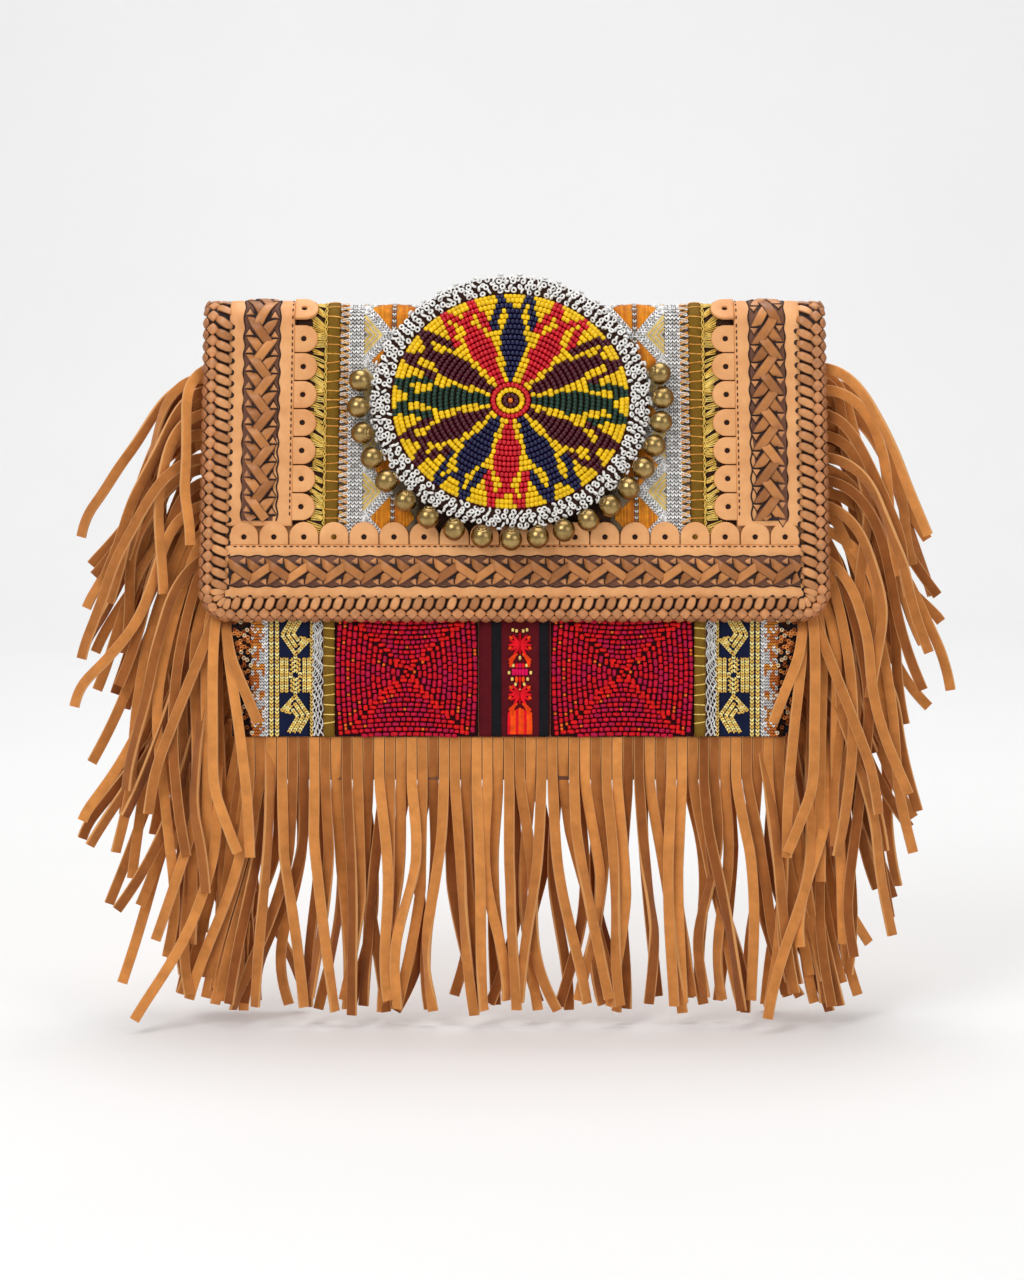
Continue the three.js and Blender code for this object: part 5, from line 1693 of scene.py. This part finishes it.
def panel_ribbons():
    bottom = PANEL_CLOTH_END
    for word, sign, _ in SIDES:
        olive = ribbons(PANEL_RIBBONS[:1], on_panel, word, sign, PANEL_CLOTH_TOP, bottom)
        couched("panel_couching_" + word, on_panel, *olive, SEEN_FROM, bottom, 4.6, 2.3, GOLD_THREAD)
        ribbons(PANEL_RIBBONS[1:], on_panel, word, sign, PANEL_CLOTH_TOP, bottom)
        knit = []
        for at, width, colours in CHAIN_ROWS:
            upright_row(knit, on_panel, sign * at, SEEN_FROM, bottom, width, 1.35, colours, int(at))
        for k in range(5):
            limit = 0.0 if k < 2 else -0.2
            colours = [EDGE_KNIT[(wobble(n, 176) <= 0.2) + 2 * (wobble(n, 175 + k) > limit)]
                       for n in range(31)]
            at = sign * (120.6 + 1.3 * k)
            upright_row(knit, on_panel, at, SEEN_FROM, bottom, 1.45, 1.35, colours, 120 + k, 1.45)
        copies("panel_knit_" + word, "silver_trim", [], pill("grain", 1, 1, 1, 5, 3), knit, KNIT)
        copies("panel_gold_" + word, "gold_navy_ribbon", [], pill("gold_stitch", 1, 1, 1, 5, 3),
               brocade(sign), KNIT)
        lace = []
        for k in range(6):
            marks = []
            for n, down in enumerate(spread(SEEN_FROM, bottom - 0.4, 99)):
                swing = 0.55 * math.sin(down * (0.95 + 0.1 * k) + 2.1 * k) + 0.4 * wobble(n, 177 + k)
                marks.append((sign * (92.5 + 0.76 * k + swing), down, 0.3 * math.sin(down * 1.3 + k)))
            lace.append(line(on_panel, marks, 1.45, wobble(k, 178)))
        thongs("panel_lace_" + word, "silver_trim", [], lace, SILVER_THREAD, 0.55, steps=1)
        spots = []
        number = 0
        for column in range(6):
            for row in range(38):
                number += 1
                across = sign * (126.6 + 1.6 * column + 0.4 * wobble(number, 171))
                down = SEEN_FROM + 1.8 * row + 0.9 * (column % 2)
                if down < bottom - 0.5 and wobble(number, 174) > -0.35:
                    tone = COPPERS[int(2 + 2 * wobble(number, 172)) % 4]
                    spin = wobble(number, 173)
                    spots.append(spot_on(on_panel, across, down, 1.4, spin, (1.2, 1.2, 1), tone))
        copies("copper_sequins_" + word, "copper_edging", [], ring_bead("sequin", 0.62, 0.36, 8, 4), spots,
               FOIL)


# The motif in rows of chain stitch: half of it, across and down in millimetres, and the same turned over
BROCADE_ROWS = [
    ((-1.5, 2.6), (-6.4, 10.9), (-0.2, 19.8)), ((0.9, 2.6), (-3.8, 10.6), (0.6, 16.8)),
    ((3.3, 2.6), (-1.2, 10.2), (1.6, 13.9)), ((0.8, 19.4), (6.9, 12.8)), ((1.9, 16.0), (4.9, 12.0)),
    ((2.5, 12.8), (3.2, 11.6)), ((0, 19.6), (0, 22.6)), ((-6.5, 21.8), (-6.5, 38.6)),
    ((-4.3, 21.8), (-4.3, 38.6)), ((-2.2, 28.6), (-2.2, 31.8)),
]
BROCADE_ROWS += [((-2.4, 22.3 + 2.2 * k), (0, 24.3 + 2.2 * k), (2.4, 22.3 + 2.2 * k)) for k in range(3)]
BROCADE_MIDDLE, BROCADE_TALL, BROCADE_START = 105.15, 60.4, PANEL_END - 59.9


def brocade(sign):
    gold = []
    for number, row in enumerate(BROCADE_ROWS):
        for side, base in ((1, 0.0), (-1, BROCADE_TALL)):
            marks = [(sign * (BROCADE_MIDDLE - side * across), BROCADE_START + base + side * down)
                     for across, down in row]
            knitted(gold, on_panel, marks, 1.3, 1.95, 1.5, GOLDS, 181 + number)
    return gold


for build in (flap_and_back, pouch_walls, scallop_bands, seams, plaits, lacing, fringes, rosette, edging,
              bells, flap_textiles, red_panels, centre_ribbon, panel_ribbons):
    build()


# The studio: a pale floor that curves up behind, soft lights and the camera. Floor sizes in millimetres
FLOOR_HEIGHT, FLOOR_FRONT, FLOOR_BACK, FLOOR_CURVE, WALL_HEIGHT = -346.5, -3000, 1600, 700, 2600
TARGET, BACKDROP = Vector((0, -0.02, -0.15)), Vector((0, 2.2, -0.1))
# Lamps: name, place, aim, size and power
LAMPS = (
    ("key", (-0.9, -1.5, 1.15), TARGET, 1.0, 17.4),
    ("fill", (1.3, -1.4, 0.55), TARGET, 1.1, 6),
    ("top", (0.1, -0.1, 1.5), TARGET, 1.2, 9.4),
    ("backdrop", (0, 0.9, 2.2), BACKDROP, 1.6, 27),
)
SKY_STRENGTH = 0.42
CAMERA_AIM, CAMERA_DISTANCE, CAMERA_TILT = Vector((-0.0012, -0.015, -0.1592)), 2.0, math.radians(7)
SENSOR, VIEW_WIDTH = 36, 0.6173


def studio():
    profile = [(FLOOR_FRONT, 0), (FLOOR_BACK, 0)]
    for k in range(1, 13):
        angle = k * math.pi / 24
        profile.append((FLOOR_BACK + FLOOR_CURVE * math.sin(angle), FLOOR_CURVE * (1 - math.cos(angle))))
    profile.append((FLOOR_BACK + FLOOR_CURVE, WALL_HEIGHT))
    points = [(x, y * MM, (FLOOR_HEIGHT + rise) * MM) for y, rise in profile for x in (-3.0, 3.0)]
    faces = [(2 * k, 2 * k + 1, 2 * k + 3, 2 * k + 2) for k in range(len(profile) - 1)]
    mesh = bpy.data.meshes.new("studio_floor")
    mesh.from_pydata(points, [], faces)
    mesh.polygons.foreach_set("use_smooth", [True] * len(mesh.polygons))
    material, tree, shader = finish("studio paper", Roughness=0.9)
    paper = mix(tree, grain(tree, 3.0, 400.0)["Cloud"], rgba((236, 236, 236)), rgba((238, 238, 238)))
    tree.links.new(paper, shader.inputs["Base Color"])
    mesh.materials.append(material)
    linked("studio_floor", mesh)

    world = bpy.data.worlds.new("studio")
    world.use_nodes = True
    sky = world.node_tree.nodes["Background"].inputs
    sky["Color"].default_value = (1, 1, 1, 1)
    sky["Strength"].default_value = SKY_STRENGTH
    bpy.context.scene.world = world
    for name, place, aimed, size, power in LAMPS:
        light = bpy.data.lights.new(name, "AREA")
        light.size = size
        light.energy = power
        lamp = linked(name, light)
        lamp.location = place
        lamp.rotation_euler = (aimed - Vector(place)).to_track_quat("-Z", "Y").to_euler()

    camera = bpy.data.cameras.new("camera")
    camera.sensor_width = SENSOR
    camera.lens = SENSOR * CAMERA_DISTANCE / VIEW_WIDTH
    viewer = linked("camera", camera)
    away = Vector((0, -math.cos(CAMERA_TILT), math.sin(CAMERA_TILT)))
    viewer.location = CAMERA_AIM + CAMERA_DISTANCE * away
    viewer.rotation_euler = (math.radians(90) - CAMERA_TILT, 0, 0)
    bpy.context.scene.camera = viewer
    bpy.context.scene.view_settings.view_transform = "Standard"


studio()
